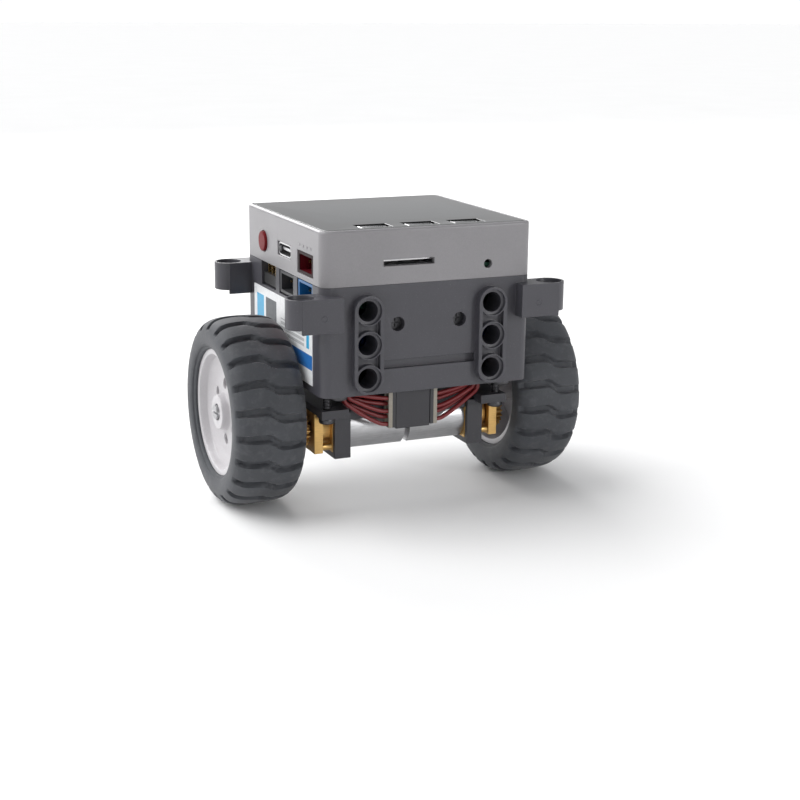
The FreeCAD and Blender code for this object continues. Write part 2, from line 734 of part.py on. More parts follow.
def make_screws():
    long_screws = []
    for _, side in SIDES:
        for _, end in ENDS:
            spot = (D["column_x"] * side, D["column_y"] * end, base_low - 1.4)
            head, shank = headed_screw("z", spot, 2.1, 1.4, 1.25, 32.0)
            hexagon = rod("z", (spot[0], spot[1], spot[2] - 0.2), 0.9, 1.0)
            long_screws.append(without(joined([head, shank]), [hexagon]))
    finish_part(grouped(long_screws, "StackScrews"), "stack_screws")
    front_screws = []
    for _, side in SIDES:
        spot = (8.0 * side, 3.2 - half_unit - 1.2, 47.7)
        head, shank = headed_screw("y", spot, 1.6, 1.2, 0.8, 2.2)
        cross = [
            block((8.0 * side - 1.0, 8.0 * side + 1.0), (-25.2, -24.6), (47.5, 47.9)),
            block((8.0 * side - 0.2, 8.0 * side + 0.2), (-25.2, -24.6), (46.7, 48.7)),
        ]
        front_screws.append(without(joined([head, shank]), cross))
    finish_part(grouped(front_screws, "FrontScrews"), "front_screws")
    hanging = []
    for _, side in SIDES:
        for _, end in ENDS:
            spot = (D["hang_x"] * side, D["hang_y"] * end, 22.8)
            head, shank = headed_screw("z", spot, 1.9, 1.4, 1.0, 10.9)
            hanging.append(joined([head, shank]))
    finish_part(grouped(hanging, "DriveScrews"), "drive_screws")


# ---------------------------------------------------------------- drive

axle_z = D["axle_level"]
CENTRE_DISTANCE = D["gear_module"].number * (WHEEL_TEETH + PINION_TEETH) / 2
MOTOR_Y = -math.sqrt(CENTRE_DISTANCE**2 - D["motor_drop"].number ** 2)
motor_z = axle_z - D["motor_drop"]
motor_front = MOTOR_Y - D["motor_wide"] / 2
motor_rear = MOTOR_Y + D["motor_wide"] / 2
motor_low = motor_z - D["motor_tall"] / 2
motor_high = motor_z + D["motor_tall"] / 2
can_end = D["motor_inner"] + D["can_length"]
box_end = can_end + D["box_length"]
BEARING_WALLS = ((8.0, 11.0), (21.4, 24.4))
LEAD_RADIUS = 0.5
LEAD_BEND = 2.0
LEAD_ROWS = (-17.75, -16.65)
LEADS_PER_PLUG = 6


def make_drive_frame():
    body = new_body("drive_frame")
    plate = sketch_on(body, "XY_Plane", D["flange_low"], "FramePlate")
    add_rectangle(plate, (-24.6, 24.6), (motor_front + 0.1, 20.5))
    pad(body, plate, D["flange_high"] - D["flange_low"])
    beams = sketch_on(body, "XY_Plane", 24.2, "FrameBeams")
    for _, side in SIDES:
        add_rectangle(beams, span(side, 17.6, 24.6), (-20.5, -17.1))
    add_rectangle(beams, (-24.6, 24.6), (15.9, 20.5))
    pad(body, beams, D["flange_high"] - 24.2)
    ties = sketch_on(body, "XY_Plane", D["flange_low"], "BeamTies")
    for _, side in SIDES:
        add_rectangle(ties, span(side, 17.6, 24.6), (-18.0, motor_front + 1))
    pad(body, ties, D["flange_high"] - D["flange_low"])
    walls = sketch_on(body, "XY_Plane", 18.9, "BearingWalls")
    for _, side in SIDES:
        for low, high in BEARING_WALLS:
            add_rectangle(walls, span(side, low, high), (motor_rear + 0.1, 4.4))
    pad(body, walls, D["flange_high"] - 18.9)
    lips = sketch_on(body, "XY_Plane", 22.5, "FrontLips")
    for _, side in SIDES:
        add_rectangle(lips, span(side, 6.7, 15.5), (-16.0, -14.9))
    pad(body, lips, D["flange_high"] - 22.5)
    centre = sketch_on(body, "XY_Plane", 19.6, "CentreBlock")
    add_rectangle(centre, (-4.5, 4.5), (-18.5, motor_front - 0.1))
    pad(body, centre, base_low - 19.6)
    neck = sketch_on(body, "XY_Plane", D["flange_low"], "CentreNeck")
    add_rectangle(neck, (-4.5, 4.5), (-17.5, -10.0))
    pad(body, neck, base_low - D["flange_low"])
    rear = sketch_on(body, "XY_Plane", D["flange_high"], "RearPosts")
    add_rectangle(rear, (-9.0, 9.0), (10.0, 13.0))
    pad(body, rear, base_low - D["flange_high"])
    saddles = sketch_on(body, "XY_Plane", motor_high, "MotorSaddles")
    for _, side in SIDES:
        add_rectangle(saddles, span(side, 1.2, 24.4), (motor_front + 1.0, motor_rear - 1.0))
    pad(body, saddles, D["flange_low"] - motor_high + 0.5)
    bushes = sketch_on(body, "YZ_Plane", 24.6, "BushHoles")
    add_circle(bushes, 0, axle_z, 2.9)
    pocket(body, bushes, 49.2)
    screws = sketch_on(body, "XY_Plane", D["flange_high"], "FrameScrewHoles")
    for _, side in SIDES:
        for _, end in ENDS:
            add_circle(screws, D["hang_x"] * side, D["hang_y"] * end, 1.0)
    pocket(body, screws, D["flange_high"] - 24.2)
    finish_part(body, "drive_frame")


def make_bushes():
    bushes = []
    for _, side in SIDES:
        for low, high in BEARING_WALLS:
            outer = rod_between(side, low, high, 0, axle_z, 2.9)
            bore = rod_between(
                side, low - 1, high + 1, 0, axle_z, D["axle_radius"] + D["running_gap"]
            )
            bushes.append(without(outer, [bore]))
    finish_part(grouped(bushes, "AxleBushes"), "axle_bushes")


def make_motor(name, side):
    """A small flat-sided gear motor: can, brass gearbox with open gears, and its output shaft."""
    can_x = span(side, D["motor_inner"], can_end)
    can_round = rod_between(side, D["motor_inner"], can_end, MOTOR_Y, motor_z, D["motor_wide"] / 2)
    flats = block(can_x, (motor_front, motor_rear), (motor_low, motor_high))
    can = doc.addObject("Part::Common", "MotorCan")
    can.Base = can_round
    can.Tool = flats
    finish_part(can, f"motor_can_{name}")
    # gearbox: two brass end plates, four pillars and a stack of gears between them
    y_limits = (motor_front, motor_rear)
    z_limits = (motor_low, motor_high)
    plates = [
        block(span(side, can_end, can_end + 1.2), y_limits, z_limits),
        block(span(side, box_end - 5.4, box_end - 4.6), y_limits, z_limits),
        block(span(side, box_end - 2.2, box_end), y_limits, z_limits),
    ]
    pillars = [
        rod_between(side, can_end, box_end, MOTOR_Y + dy, motor_z + dz, 0.9)
        for dy in (-4.7, 4.7)
        for dz in (-3.7, 3.7)
    ]
    gears = [
        rod_between(side, can_end + 1.0, box_end - 5.0, MOTOR_Y - 1.6, motor_z, 3.9),
        rod_between(side, box_end - 4.8, box_end - 2.4, MOTOR_Y, motor_z, 4.4),
        rod_between(side, can_end + 1.0, box_end - 0.5, MOTOR_Y + 2.6, motor_z, 1.6),
    ]
    bore = rod_between(
        side, box_end - 4.0, box_end + 1, MOTOR_Y, motor_z, D["shaft_radius"] + D["running_gap"]
    )
    whole = joined(plates + pillars + gears)
    finish_part(without(whole, [bore], "Gearbox"), f"gearbox_{name}")
    shaft = rod_between(side, box_end - 3.9, 27.1, MOTOR_Y, motor_z, D["shaft_radius"], "MotorShaft")
    finish_part(shaft, f"motor_shaft_{name}")
    # strap that holds the gearbox's inner half up against the frame
    strap_y = (motor_front - 1.3, motor_rear + 1.2)
    strap = without(
        block(span(side, can_end + 0.1, 19.9), strap_y, (motor_low - 1.4, 24.6)),
        [block(span(side, can_end - 1, 21), y_limits, (motor_low, 26.0))],
        "Strap",
    )
    finish_part(strap, f"motor_strap_{name}")


def involute(angle):
    return math.tan(angle) - angle


def gear_shape(teeth, module, start, width, bore, turn):
    """A spur gear about the X axis with involute flanks, one tooth centred at the angle turn."""
    pitch = module * teeth / 2
    base = pitch * math.cos(PRESSURE_ANGLE)
    tip = pitch + module
    root = pitch - 1.25 * module
    half_pitch = math.pi / (2 * teeth) - TOOTH_THINNING / (2 * pitch)

    def half_angle(radius):
        return half_pitch + involute(PRESSURE_ANGLE) - involute(math.acos(min(1.0, base / radius)))

    def point(radius, angle):
        return FreeCAD.Vector(start, radius * math.cos(angle), radius * math.sin(angle))

    first = max(base, root)
    radii = [first + (tip - first) * k / 4 for k in range(5)]
    step = 2 * math.pi / teeth
    edges = []
    for tooth in range(teeth):
        centre = turn + tooth * step
        rising = [point(r, centre - half_angle(r)) for r in radii]
        falling = [point(r, centre + half_angle(r)) for r in reversed(radii)]
        foot_in = point(root, centre - half_angle(first))
        foot_out = point(root, centre + half_angle(first))
        next_foot = point(root, centre + step - half_angle(first))
        curve_up = Part.BSplineCurve()
        curve_up.interpolate(rising)
        curve_down = Part.BSplineCurve()
        curve_down.interpolate(falling)
        edges.append(Part.LineSegment(foot_in, rising[0]).toShape())
        edges.append(curve_up.toShape())
        edges.append(Part.Arc(rising[-1], point(tip, centre), falling[0]).toShape())
        edges.append(curve_down.toShape())
        edges.append(Part.LineSegment(falling[-1], foot_out).toShape())
        edges.append(Part.Arc(foot_out, point(root, centre + step / 2), next_foot).toShape())
    blank = Part.Face(Part.Wire(edges)).extrude(FreeCAD.Vector(width, 0, 0))
    hole = Part.makeCylinder(bore, width + 2, FreeCAD.Vector(start - 1, 0, 0), FreeCAD.Vector(1, 0, 0))
    return blank.cut(hole)


def make_gears(name, side):
    """The pinion on the motor shaft and the gear on the wheel axle, in mesh."""
    width = D["gear_width"].number
    low = D["gear_start"].number
    start = low if side > 0 else -low - width
    towards_motor = math.atan2(-D["motor_drop"].number, MOTOR_Y)
    module = D["gear_module"].number
    wheel_gear = doc.addObject("Part::Feature", f"WheelGear_{name}")
    wheel_gear.Shape = gear_shape(
        WHEEL_TEETH, module, start, width, D["axle_radius"].number, towards_motor
    )
    wheel_gear.Placement.Base = FreeCAD.Vector(0, 0, axle_z.number)
    finish_part(wheel_gear, f"wheel_gear_{name}")
    pinion_turn = towards_motor + math.pi + math.pi / PINION_TEETH
    pinion = doc.addObject("Part::Feature", f"Pinion_{name}")
    pinion.Shape = gear_shape(
        PINION_TEETH, module, start, width, D["shaft_radius"].number, pinion_turn
    )
    pinion.Placement.Base = FreeCAD.Vector(0, MOTOR_Y, motor_z.number)
    finish_part(pinion, f"pinion_{name}")


def lead_shape(side, index):
    """One lead from the plug's outer side, up in front of the motor and into the base."""
    y = LEAD_ROWS[index % 2]
    low = 20.9 + index * 1.62
    end_x = 17.9 - (index // 2) * 1.1
    points = [
        FreeCAD.Vector(side * 6.1, y, low),
        FreeCAD.Vector(side * 8.0, y, low),
        FreeCAD.Vector(side * end_x, y, 27.6 + (index // 2) * 0.9),
        FreeCAD.Vector(side * end_x, y, 34.5),
    ]
    edges = []
    here = points[0]
    for before, corner, after in zip(points, points[1:], points[2:]):
        come = (corner - before).normalize()
        go = (after - corner).normalize()
        turn = come.getAngle(go)
        reach = LEAD_BEND * math.tan(turn / 2)
        inward = (go - come).normalize()
        centre = corner + inward * (LEAD_BEND / math.cos(turn / 2))
        into = corner - come * reach
        out = corner + go * reach
        edges.append(Part.LineSegment(here, into).toShape())
        edges.append(Part.Arc(into, centre - inward * LEAD_BEND, out).toShape())
        here = out
    edges.append(Part.LineSegment(here, points[-1]).toShape())
    path = Part.Wire(edges)
    ring = Part.makeCircle(LEAD_RADIUS, points[0], FreeCAD.Vector(side, 0, 0))
    tube = path.makePipeShell([Part.Wire([ring])], True, False)
    expected = math.pi * LEAD_RADIUS**2 * path.Length
    if abs(tube.Volume - expected) > 0.02 * expected:
        raise RuntimeError("a lead's volume is wrong")
    return tube


def make_leads(name, side):
    """The white motor plug and its six red leads."""
    plug = without(
        block(span(side, 4.6, 6.5), (-18.6, -15.8), (20.0, 30.2)),
        [block(span(side, 6.1, 7.0), (-18.35, -16.05), (20.25, 29.95))],
        "MotorPlug",
    )
    finish_part(plug, f"motor_plug_{name}")
    leads = doc.addObject("Part::Feature", f"MotorLeads_{name}")
    leads.Shape = Part.makeCompound([lead_shape(side, i) for i in range(LEADS_PER_PLUG)])
    finish_part(leads, f"motor_leads_{name}")


# ---------------------------------------------------------------- wheels

tyre_mid = (D["tyre_inner_face"] + D["tyre_outer_face"]) / 2
tyre_half = (D["tyre_outer_face"] - D["tyre_inner_face"]) / 2


def make_tyre(name, side):
    """A balloon tyre with staggered half-width blocks, turned about its own X axis."""
    body = new_body(f"tyre_{name}")
    profile = sketch_on(body, "XY_Plane", 0, f"TyreProfile{name}")
    half = tyre_half
    crown = D["tread_radius"]
    rim = D["rim_radius"]
    add_outline(
        profile,
        [
            (-half + 1.6, rim),
            (half - 1.6, rim),
            (half, 18.4),
            (half - 0.3, 20.0),
            (half - 2.0, crown - 1.1),
            (half - 4.4, crown),
            (4.4 - half, crown),
            (2.0 - half, crown - 1.1),
            (0.3 - half, 20.0),
            (-half, 18.4),
        ],
    )
    revolve(body, profile, "X_Axis")
    half_step = 180.0 / TREAD_BLOCKS
    for tag, low, high, angle in (("Near", -half - 1, 0.4, 0.0), ("Far", -0.4, half + 1, half_step)):
        groove = sketch_on(body, "XY_Plane", 0, f"Groove{tag}{name}")
        turn = FreeCAD.Rotation(FreeCAD.Vector(1, 0, 0), angle)
        lift = crown.number + 1.0
        groove.AttachmentOffset = FreeCAD.Placement(turn.multVec(FreeCAD.Vector(0, 0, lift)), turn)
        groove.setExpression("AttachmentOffset.Base.z", None)
        add_rectangle(groove, (low, high), (-D["groove_width"] / 2, D["groove_width"] / 2))
        cut = pocket(body, groove, D["tread_depth"] + 1.0)
        repeat_round(body, cut, "X_Axis", TREAD_BLOCKS)
    put(body, tyre_mid * side, 0, axle_z)
    finish_part(body, f"tyre_{name}")


def make_rim(name, side):
    """A dished rim: barrel, recessed disc and a long hub, turned about its own X axis."""
    body = new_body(f"rim_{name}")
    profile = sketch_on(body, "XY_Plane", 0, f"RimProfile{name}")
    out = 1 if side > 0 else -1
    points = [
        (29.6, D["rim_radius"]),
        (44.4, D["rim_radius"]),
        (44.4, 14.2),
        (42.4, 13.6),
        (41.8, 11.0),
        (42.2, 4.6),
        (44.2, 4.2),
        (44.2, D["axle_radius"]),
        (29.0, D["axle_radius"]),
        (29.0, 4.0),
        (40.0, 4.6),
        (40.2, 13.4),
        (29.6, 14.2),
    ]
    add_outline(profile, [(as_dim(x) * out, r) for x, r in points])
    revolve(body, profile, "X_Axis")
    holes = sketch_on(body, "YZ_Plane", 43.4 * side, f"RimHole{name}")
    add_circle(holes, 0, 7.0, 1.3)
    cut = pocket(body, holes, 4.0, along_normal=side < 0)
    repeat_round(body, cut, "X_Axis", 6)
    put(body, 0, 0, axle_z)
    finish_part(body, f"rim_{name}")


def make_axle(name, side):
    axle = rod_between(side, 7.0, 43.2, 0, axle_z, D["axle_radius"])
    groove = without(
        rod_between(side, 7.2, 7.8, 0, axle_z, 2.5),
        [rod_between(side, 7.1, 7.9, 0, axle_z, 1.6)],
    )
    bore = rod_between(side, 36.0, 44.0, 0, axle_z, 0.9)
    finish_part(without(axle, [groove, bore], "Axle"), f"axle_{name}")
    ring = without(
        rod_between(side, 7.2, 7.8, 0, axle_z, 2.7),
        [
            rod_between(side, 7.0, 8.0, 0, axle_z, 1.6),
            block(span(side, 7.0, 8.0), (-1.2, 1.2), (axle_z - 4, axle_z)),
        ],
        "Clip",
    )
    finish_part(ring, f"axle_clip_{name}")
    head = rod_between(side, 43.3, 44.8, 0, axle_z, 1.8)
    shank = rod_between(side, 37.0, 43.3, 0, axle_z, 0.9)
    slot = block(span(side, 44.2, 45.0), (-2.0, 2.0), (axle_z - 0.25, axle_z + 0.25))
    finish_part(without(joined([head, shank]), [slot], "HubScrew"), f"hub_screw_{name}")


# ---------------------------------------------------------------- build, check, write


def check_document():
    """Stops if any object failed, or any sub-part is empty or not valid."""
    for obj in doc.Objects:
        if "Invalid" in obj.State or "Error" in obj.State:
            raise RuntimeError(f"{obj.Label} failed: {obj.State}")
    for name, obj in parts.items():
        if obj.Shape.isNull() or not obj.Shape.isValid() or not obj.Shape.Solids:
            raise RuntimeError(f"{name} has no valid solid")
        print(f"{name:20s} solids {len(obj.Shape.Solids):2d} volume {obj.Shape.Volume:10.2f}")


def main():
    make_core_case()
    make_screen_glass()
    make_keys()
    make_core_inside()
    core_port_z = (PORT_Z[0] + 0.1, PORT_Z[1] - 0.1)
    make_four_pin_socket((PORT_Y[0] + 0.5, PORT_Y[1] - 0.2), core_port_z, "core_port_socket")
    make_base_case()
    make_base_cover()
    make_base_inside()
    make_four_pin_socket(BLUE_Y, BASE_PORT_Z, "blue_port_socket")
    make_four_pin_socket(BLACK_Y, BASE_PORT_Z, "black_port_socket")
    pins = socket_pins((PORT_Y[0] + 0.5, PORT_Y[1] - 0.2), PORT_Z)
    pins += socket_pins(BLUE_Y, BASE_PORT_Z) + socket_pins(BLACK_Y, BASE_PORT_Z)
    finish_part(grouped(pins, "SocketPins"), "socket_pins")
    make_screws()
    make_drive_frame()
    make_bushes()
    for name, side in SIDES:
        make_motor(name, side)
        make_gears(name, side)
        make_leads(name, side)
        make_tyre(name, side)
        make_rim(name, side)
        make_axle(name, side)
    doc.recompute()
    check_document()
    os.makedirs("parts", exist_ok=True)
    for name, obj in parts.items():
        obj.Shape.exportStep(f"parts/{name}.step")
    print(len(parts), "sub-parts written")


main()
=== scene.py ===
import json
import math

import bmesh
import bpy
from mathutils import Matrix, Vector

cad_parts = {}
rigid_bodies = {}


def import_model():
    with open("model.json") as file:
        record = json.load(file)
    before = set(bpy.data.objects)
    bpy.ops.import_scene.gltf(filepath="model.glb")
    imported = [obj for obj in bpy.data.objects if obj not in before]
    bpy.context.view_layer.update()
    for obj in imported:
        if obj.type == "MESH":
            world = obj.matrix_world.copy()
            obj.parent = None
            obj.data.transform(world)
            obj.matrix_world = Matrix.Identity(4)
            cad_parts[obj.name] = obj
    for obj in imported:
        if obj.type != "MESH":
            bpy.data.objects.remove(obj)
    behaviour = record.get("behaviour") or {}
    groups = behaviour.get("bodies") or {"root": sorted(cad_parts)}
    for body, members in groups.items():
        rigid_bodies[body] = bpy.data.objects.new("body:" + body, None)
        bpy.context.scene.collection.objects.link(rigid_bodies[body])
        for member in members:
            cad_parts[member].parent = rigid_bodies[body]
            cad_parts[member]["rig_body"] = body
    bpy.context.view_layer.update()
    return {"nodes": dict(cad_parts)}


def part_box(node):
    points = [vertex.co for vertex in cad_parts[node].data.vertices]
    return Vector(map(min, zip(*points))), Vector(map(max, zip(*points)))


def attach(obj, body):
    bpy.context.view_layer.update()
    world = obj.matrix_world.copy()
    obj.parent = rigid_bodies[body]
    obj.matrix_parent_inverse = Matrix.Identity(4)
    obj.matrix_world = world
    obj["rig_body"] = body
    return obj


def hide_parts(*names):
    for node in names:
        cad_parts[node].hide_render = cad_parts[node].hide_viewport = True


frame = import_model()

# The frame's axes: X from the left wheel to the right one, +Y to the back, +Z up, with the origin on
# the ground under the middle of the car. Sizes here are in millimetres, and MM turns them to metres.

MM = 0.001
SIDES = (("left", -1), ("right", 1))
nodes = frame["nodes"]


# ------------------------------------------------------------------ material building

FINE_GRAIN = 5200
PLASTIC_IOR = 1.5
DULL_IOR = 1.22
DUST = (0.62, 0.61, 0.58)


class Shader:
    """A material's node tree with short calls for the nodes this scene uses."""

    def __init__(self, name):
        self.material = bpy.data.materials.new(name)
        self.material.use_nodes = True
        self.tree = self.material.node_tree
        self.surface = self.tree.nodes["Principled BSDF"]
        coordinates = self.tree.nodes.new("ShaderNodeTexCoord")
        self.place = coordinates.outputs["Object"]
        self.height = None

    def node(self, kind, **settings):
        """A new node with its settings."""
        made = self.tree.nodes.new(kind)
        for key, value in settings.items():
            setattr(made, key, value)
        return made

    def link(self, source, target):
        self.tree.links.new(source, target)

    def constant(self, **values):
        """Sets numbers and colours on the surface's own sockets."""
        for key, value in values.items():
            self.surface.inputs[key.replace("_", " ")].default_value = value

    def stretched(self, x, y, z):
        """The object's own coordinates scaled along each axis."""
        mapping = self.node("ShaderNodeMapping")
        mapping.inputs["Scale"].default_value = (x, y, z)
        self.link(self.place, mapping.inputs["Vector"])
        return mapping.outputs["Vector"]

    def noise(self, scale, detail=3.0, roughness=0.55, where=None):
        """Cloudy noise, on the object's own coordinates unless others are given."""
        made = self.node("ShaderNodeTexNoise")
        made.inputs["Scale"].default_value = scale
        made.inputs["Detail"].default_value = detail
        made.inputs["Roughness"].default_value = roughness
        self.link(where or self.place, made.inputs["Vector"])
        return made.outputs["Fac"]

    def cells(self, scale):
        """Distance from scattered points."""
        made = self.node("ShaderNodeTexVoronoi")
        made.inputs["Scale"].default_value = scale
        self.link(self.place, made.inputs["Vector"])
        return made.outputs["Distance"]

    def ramp(self, value, stops):
        """Blends between stops of (position, colour or grey level)."""
        made = self.node("ShaderNodeValToRGB")
        band = made.color_ramp
        while len(band.elements) < len(stops):
            band.elements.new(0.5)
        for element, (position, colour) in zip(band.elements, stops):
            element.position = position
            if isinstance(colour, (int, float)):
                colour = (colour, colour, colour)
            element.color = (*colour[:3], 1.0)
        self.link(value, made.inputs["Fac"])
        return made.outputs["Color"]

    def math(self, operation, a, b=0.0, clamp=False):
        """One sum on values or sockets."""
        made = self.node("ShaderNodeMath", operation=operation, use_clamp=clamp)
        for socket, value in zip(made.inputs, (a, b)):
            if isinstance(value, (int, float)):
                socket.default_value = value
            else:
                self.link(value, socket)
        return made.outputs[0]

    def mix(self, factor, a, b):
        """Colour a where the factor is 0, and b where it is 1."""
        made = self.node("ShaderNodeMix", data_type="RGBA")
        for name, value in (("Factor", factor), ("A", a), ("B", b)):
            socket = next(s for s in made.inputs if s.name == name and s.enabled)
            if isinstance(value, (int, float)):
                socket.default_value = value
            elif isinstance(value, tuple):
                socket.default_value = (*value[:3], 1.0)
            else:
                self.link(value, socket)
        return next(s for s in made.outputs if s.enabled)

    def axes(self):
        """The object's own X, Y and Z, in metres."""
        split = self.node("ShaderNodeSeparateXYZ")
        self.link(self.place, split.inputs[0])
        return split.outputs

    def inside(self, value, limits, blur=0.08):
        """About 1 where a distance lies between two limits, and 0 outside. All in millimetres."""
        low, high = (limit * MM for limit in limits)
        away = self.math("ABSOLUTE", self.math("SUBTRACT", value, (low + high) / 2))
        left = self.math("SUBTRACT", (high - low) / 2, away)
        return self.math("DIVIDE", left, blur * MM, clamp=True)

    def patch(self, a, a_range, b, b_range):
        """About 1 in a rectangle on two axes."""
        in_a = self.inside(a, a_range)
        in_b = self.inside(b, b_range)
        return self.math("MULTIPLY", in_a, in_b)

    def colour(self, value):
        self.link(value, self.surface.inputs["Base Color"])

    def roughness(self, value, low, high):
        """Roughness that follows a value from low to high."""
        made = self.node("ShaderNodeMapRange")
        made.inputs["To Min"].default_value = low
        made.inputs["To Max"].default_value = high
        self.link(value, made.inputs["Value"])
        self.link(made.outputs["Result"], self.surface.inputs["Roughness"])

    def bump(self, value, distance, strength=1.0):
        """Adds one more layer of bump over those before it."""
        made = self.node("ShaderNodeBump")
        made.inputs["Distance"].default_value = distance
        made.inputs["Strength"].default_value = strength
        self.link(value, made.inputs["Height"])
        if self.height is not None:
            self.link(self.height, made.inputs["Normal"])
        self.height = made.outputs["Normal"]
        self.link(self.height, self.surface.inputs["Normal"])


def shade(colour, factor):
    """A colour made lighter or darker."""
    return tuple(min(1.0, c * factor) for c in colour)


def moulded(
    name,
    colour,
    rough=0.45,
    grain=0.012,
    grain_scale=FINE_GRAIN,
    scuffs=0.25,
    coat=0.0,
    marks=0.0,
    ior=PLASTIC_IOR,
):
    """Injection-moulded plastic: fine spark-eroded grain, slow tone drift, faint scuffs and dust."""
    s = Shader(name)
    drift = s.noise(55, 4.0)
    fine = s.noise(grain_scale, 2.0, 0.6)
    tone = s.ramp(drift, [(0.3, shade(colour, 0.93)), (0.7, shade(colour, 1.06))])
    speckle = s.ramp(fine, [(0.35, shade(colour, 0.86)), (0.65, shade(colour, 1.12))])
    body = s.mix(0.35, tone, speckle)
    streaks = s.noise(1.0, 5.0, 0.65, s.stretched(260, 900, 150))
    scratch = s.ramp(streaks, [(0.60, 0.0), (0.74, 1.0)])
    dust = s.cells(2100)
    mote = s.ramp(dust, [(0.045, 1.0), (0.075, 0.0)])
    body = s.mix(s.math("MULTIPLY", scratch, scuffs * 0.35), body, shade(colour, 1.5))
    body = s.mix(s.math("MULTIPLY", mote, scuffs * 0.8), body, DUST)
    s.colour(body)
    mixed = s.math("ADD", s.math("MULTIPLY", fine, 0.5), s.math("MULTIPLY", scratch, 0.5))
    s.roughness(mixed, rough - 0.08, rough + 0.14)
    s.bump(fine, grain * MM)
    s.bump(drift, 0.05 * MM, 0.5)
    if marks:
        add_gate_marks(s, marks)
    s.constant(IOR=ior, Coat_Weight=coat, Coat_Roughness=0.2)
    return s.material


# a gate mark's place from the middle and above the ground, its ring's radii and blur, and the
# layer about the lug's face that it shows in
GATE_PLACE = (27.6, 50.9)
GATE_RING = (0.42, 0.85)
GATE_BLUR = 0.25
FACE_BAND = (-0.2, 0.5)


def add_gate_marks(s, height):
    """A shallow ring on each lug's outer face, where the plastic was let into the mould."""
    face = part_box("base_case")[1].y / MM
    x, y, z = s.axes()
    across = s.math("SUBTRACT", s.math("ABSOLUTE", x), GATE_PLACE[0] * MM)
    up = s.math("SUBTRACT", z, GATE_PLACE[1] * MM)
    squares = s.math("ADD", s.math("MULTIPLY", across, across), s.math("MULTIPLY", up, up))
    away = s.math("SQRT", squares)
    ring = s.inside(away, GATE_RING, GATE_BLUR)
    on_face = s.inside(s.math("ABSOLUTE", y), (face + FACE_BAND[0], face + FACE_BAND[1]))
    s.bump(s.math("MULTIPLY", ring, on_face), height * MM)


RUBBER = (0.040, 0.043, 0.050)
BLOOM = (0.20, 0.20, 0.205)


def rubber_material():
    """Dark tyre rubber with a faint grey bloom and fine grain."""
    s = Shader("tyre_rubber")
    drift = s.noise(90, 5.0)
    fine = s.noise(4200, 3.0, 0.7)
    slow_tone = s.ramp(drift, [(0.3, shade(RUBBER, 0.8)), (0.72, shade(RUBBER, 1.35))])
    fine_tone = s.ramp(fine, [(0.3, shade(RUBBER, 0.75)), (0.7, shade(RUBBER, 1.25))])
    body = s.mix(0.5, slow_tone, fine_tone)
    bloom = s.ramp(s.noise(420, 6.0, 0.7), [(0.50, 0.0), (0.72, 1.0)])
    s.colour(s.mix(s.math("MULTIPLY", bloom, 0.16), body, BLOOM))
    s.roughness(fine, 0.55, 0.78)
    s.bump(fine, 0.03 * MM)
    s.bump(s.noise(900, 4.0), 0.05 * MM, 0.6)
    s.constant(IOR=PLASTIC_IOR, Sheen_Weight=0.12, Sheen_Roughness=0.5)
    return s.material


# margins of the lit area within the screen module
SCREEN_SIDE = 1.8
SCREEN_FRONT = 1.7
SCREEN_BACK = 2.1
GLASS_BLACK = (0.006, 0.006, 0.007)
SCREEN_OFF = (0.016, 0.018, 0.021)


def glass_material():
    """Black cover glass with a just visible screen area behind it, and light wiping marks."""
    s = Shader("screen_glass_black")
    low, high = (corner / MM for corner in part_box("screen_module"))
    screen_x = (low.x + SCREEN_SIDE, high.x - SCREEN_SIDE)
    screen_y = (low.y + SCREEN_FRONT, high.y - SCREEN_BACK)
    x, y, _ = s.axes()
    body = s.mix(s.patch(x, screen_x, y, screen_y), GLASS_BLACK, SCREEN_OFF)
    wipe = s.noise(1.0, 6.0, 0.7, s.stretched(40, 260, 200))
    dust = s.ramp(s.cells(1500), [(0.03, 1.0), (0.05, 0.0)])
    s.colour(s.mix(s.math("MULTIPLY", dust, 0.25), body, (0.5, 0.5, 0.5)))
    s.roughness(wipe, 0.03, 0.11)
    s.constant(IOR=1.40)
    return s.material


TARNISH = 0.2


def metal_material(name, colour, rough, along=(300, 4000, 4000)):
    """Turned or drawn metal with fine lines along one axis and a little tarnish."""
    s = Shader(name)
    lines = s.noise(1.0, 3.0, 0.6, s.stretched(*along))
    tarnish = s.ramp(s.noise(260, 5.0, 0.7), [(0.45, 0.0), (0.7, 1.0)])
    body = s.ramp(lines, [(0.3, shade(colour, 0.85)), (0.7, shade(colour, 1.1))])
    s.colour(s.mix(s.math("MULTIPLY", tarnish, TARNISH), body, shade(colour, 0.45)))
    s.roughness(lines, rough - 0.08, rough + 0.16)
    s.bump(lines, 0.006 * MM)
    s.constant(Metallic=1.0)
    return s.material


SOLDER_MASK = (0.012, 0.055, 0.034)
VIA = (0.55, 0.5, 0.36)


def board_material():
    """Solder mask with fine copper traces and vias under it."""
    s = Shader("circuit_board_green")
    bands = s.node("ShaderNodeTexWave", wave_type="BANDS", bands_direction="DIAGONAL")
    bands.inputs["Scale"].default_value = 330
    bands.inputs["Distortion"].default_value = 6.0
    bands.inputs["Detail Scale"].default_value = 0.4
    s.link(s.place, bands.inputs["Vector"])
    traces = s.ramp(bands.outputs["Fac"], [(0.62, 0.0), (0.68, 1.0)])
    vias = s.ramp(s.cells(420), [(0.10, 1.0), (0.16, 0.0)])
    body = s.mix(s.math("MULTIPLY", traces, 0.6), SOLDER_MASK, shade(SOLDER_MASK, 2.2))
    s.colour(s.mix(vias, body, VIA))
    s.roughness(traces, 0.32, 0.5)
    s.bump(traces, 0.02 * MM)
    return s.material


# the band about the socket's outer face that is painted nearly black as painted shade
PAINTED_SHADE_BAND = (-1.2, 0.3)


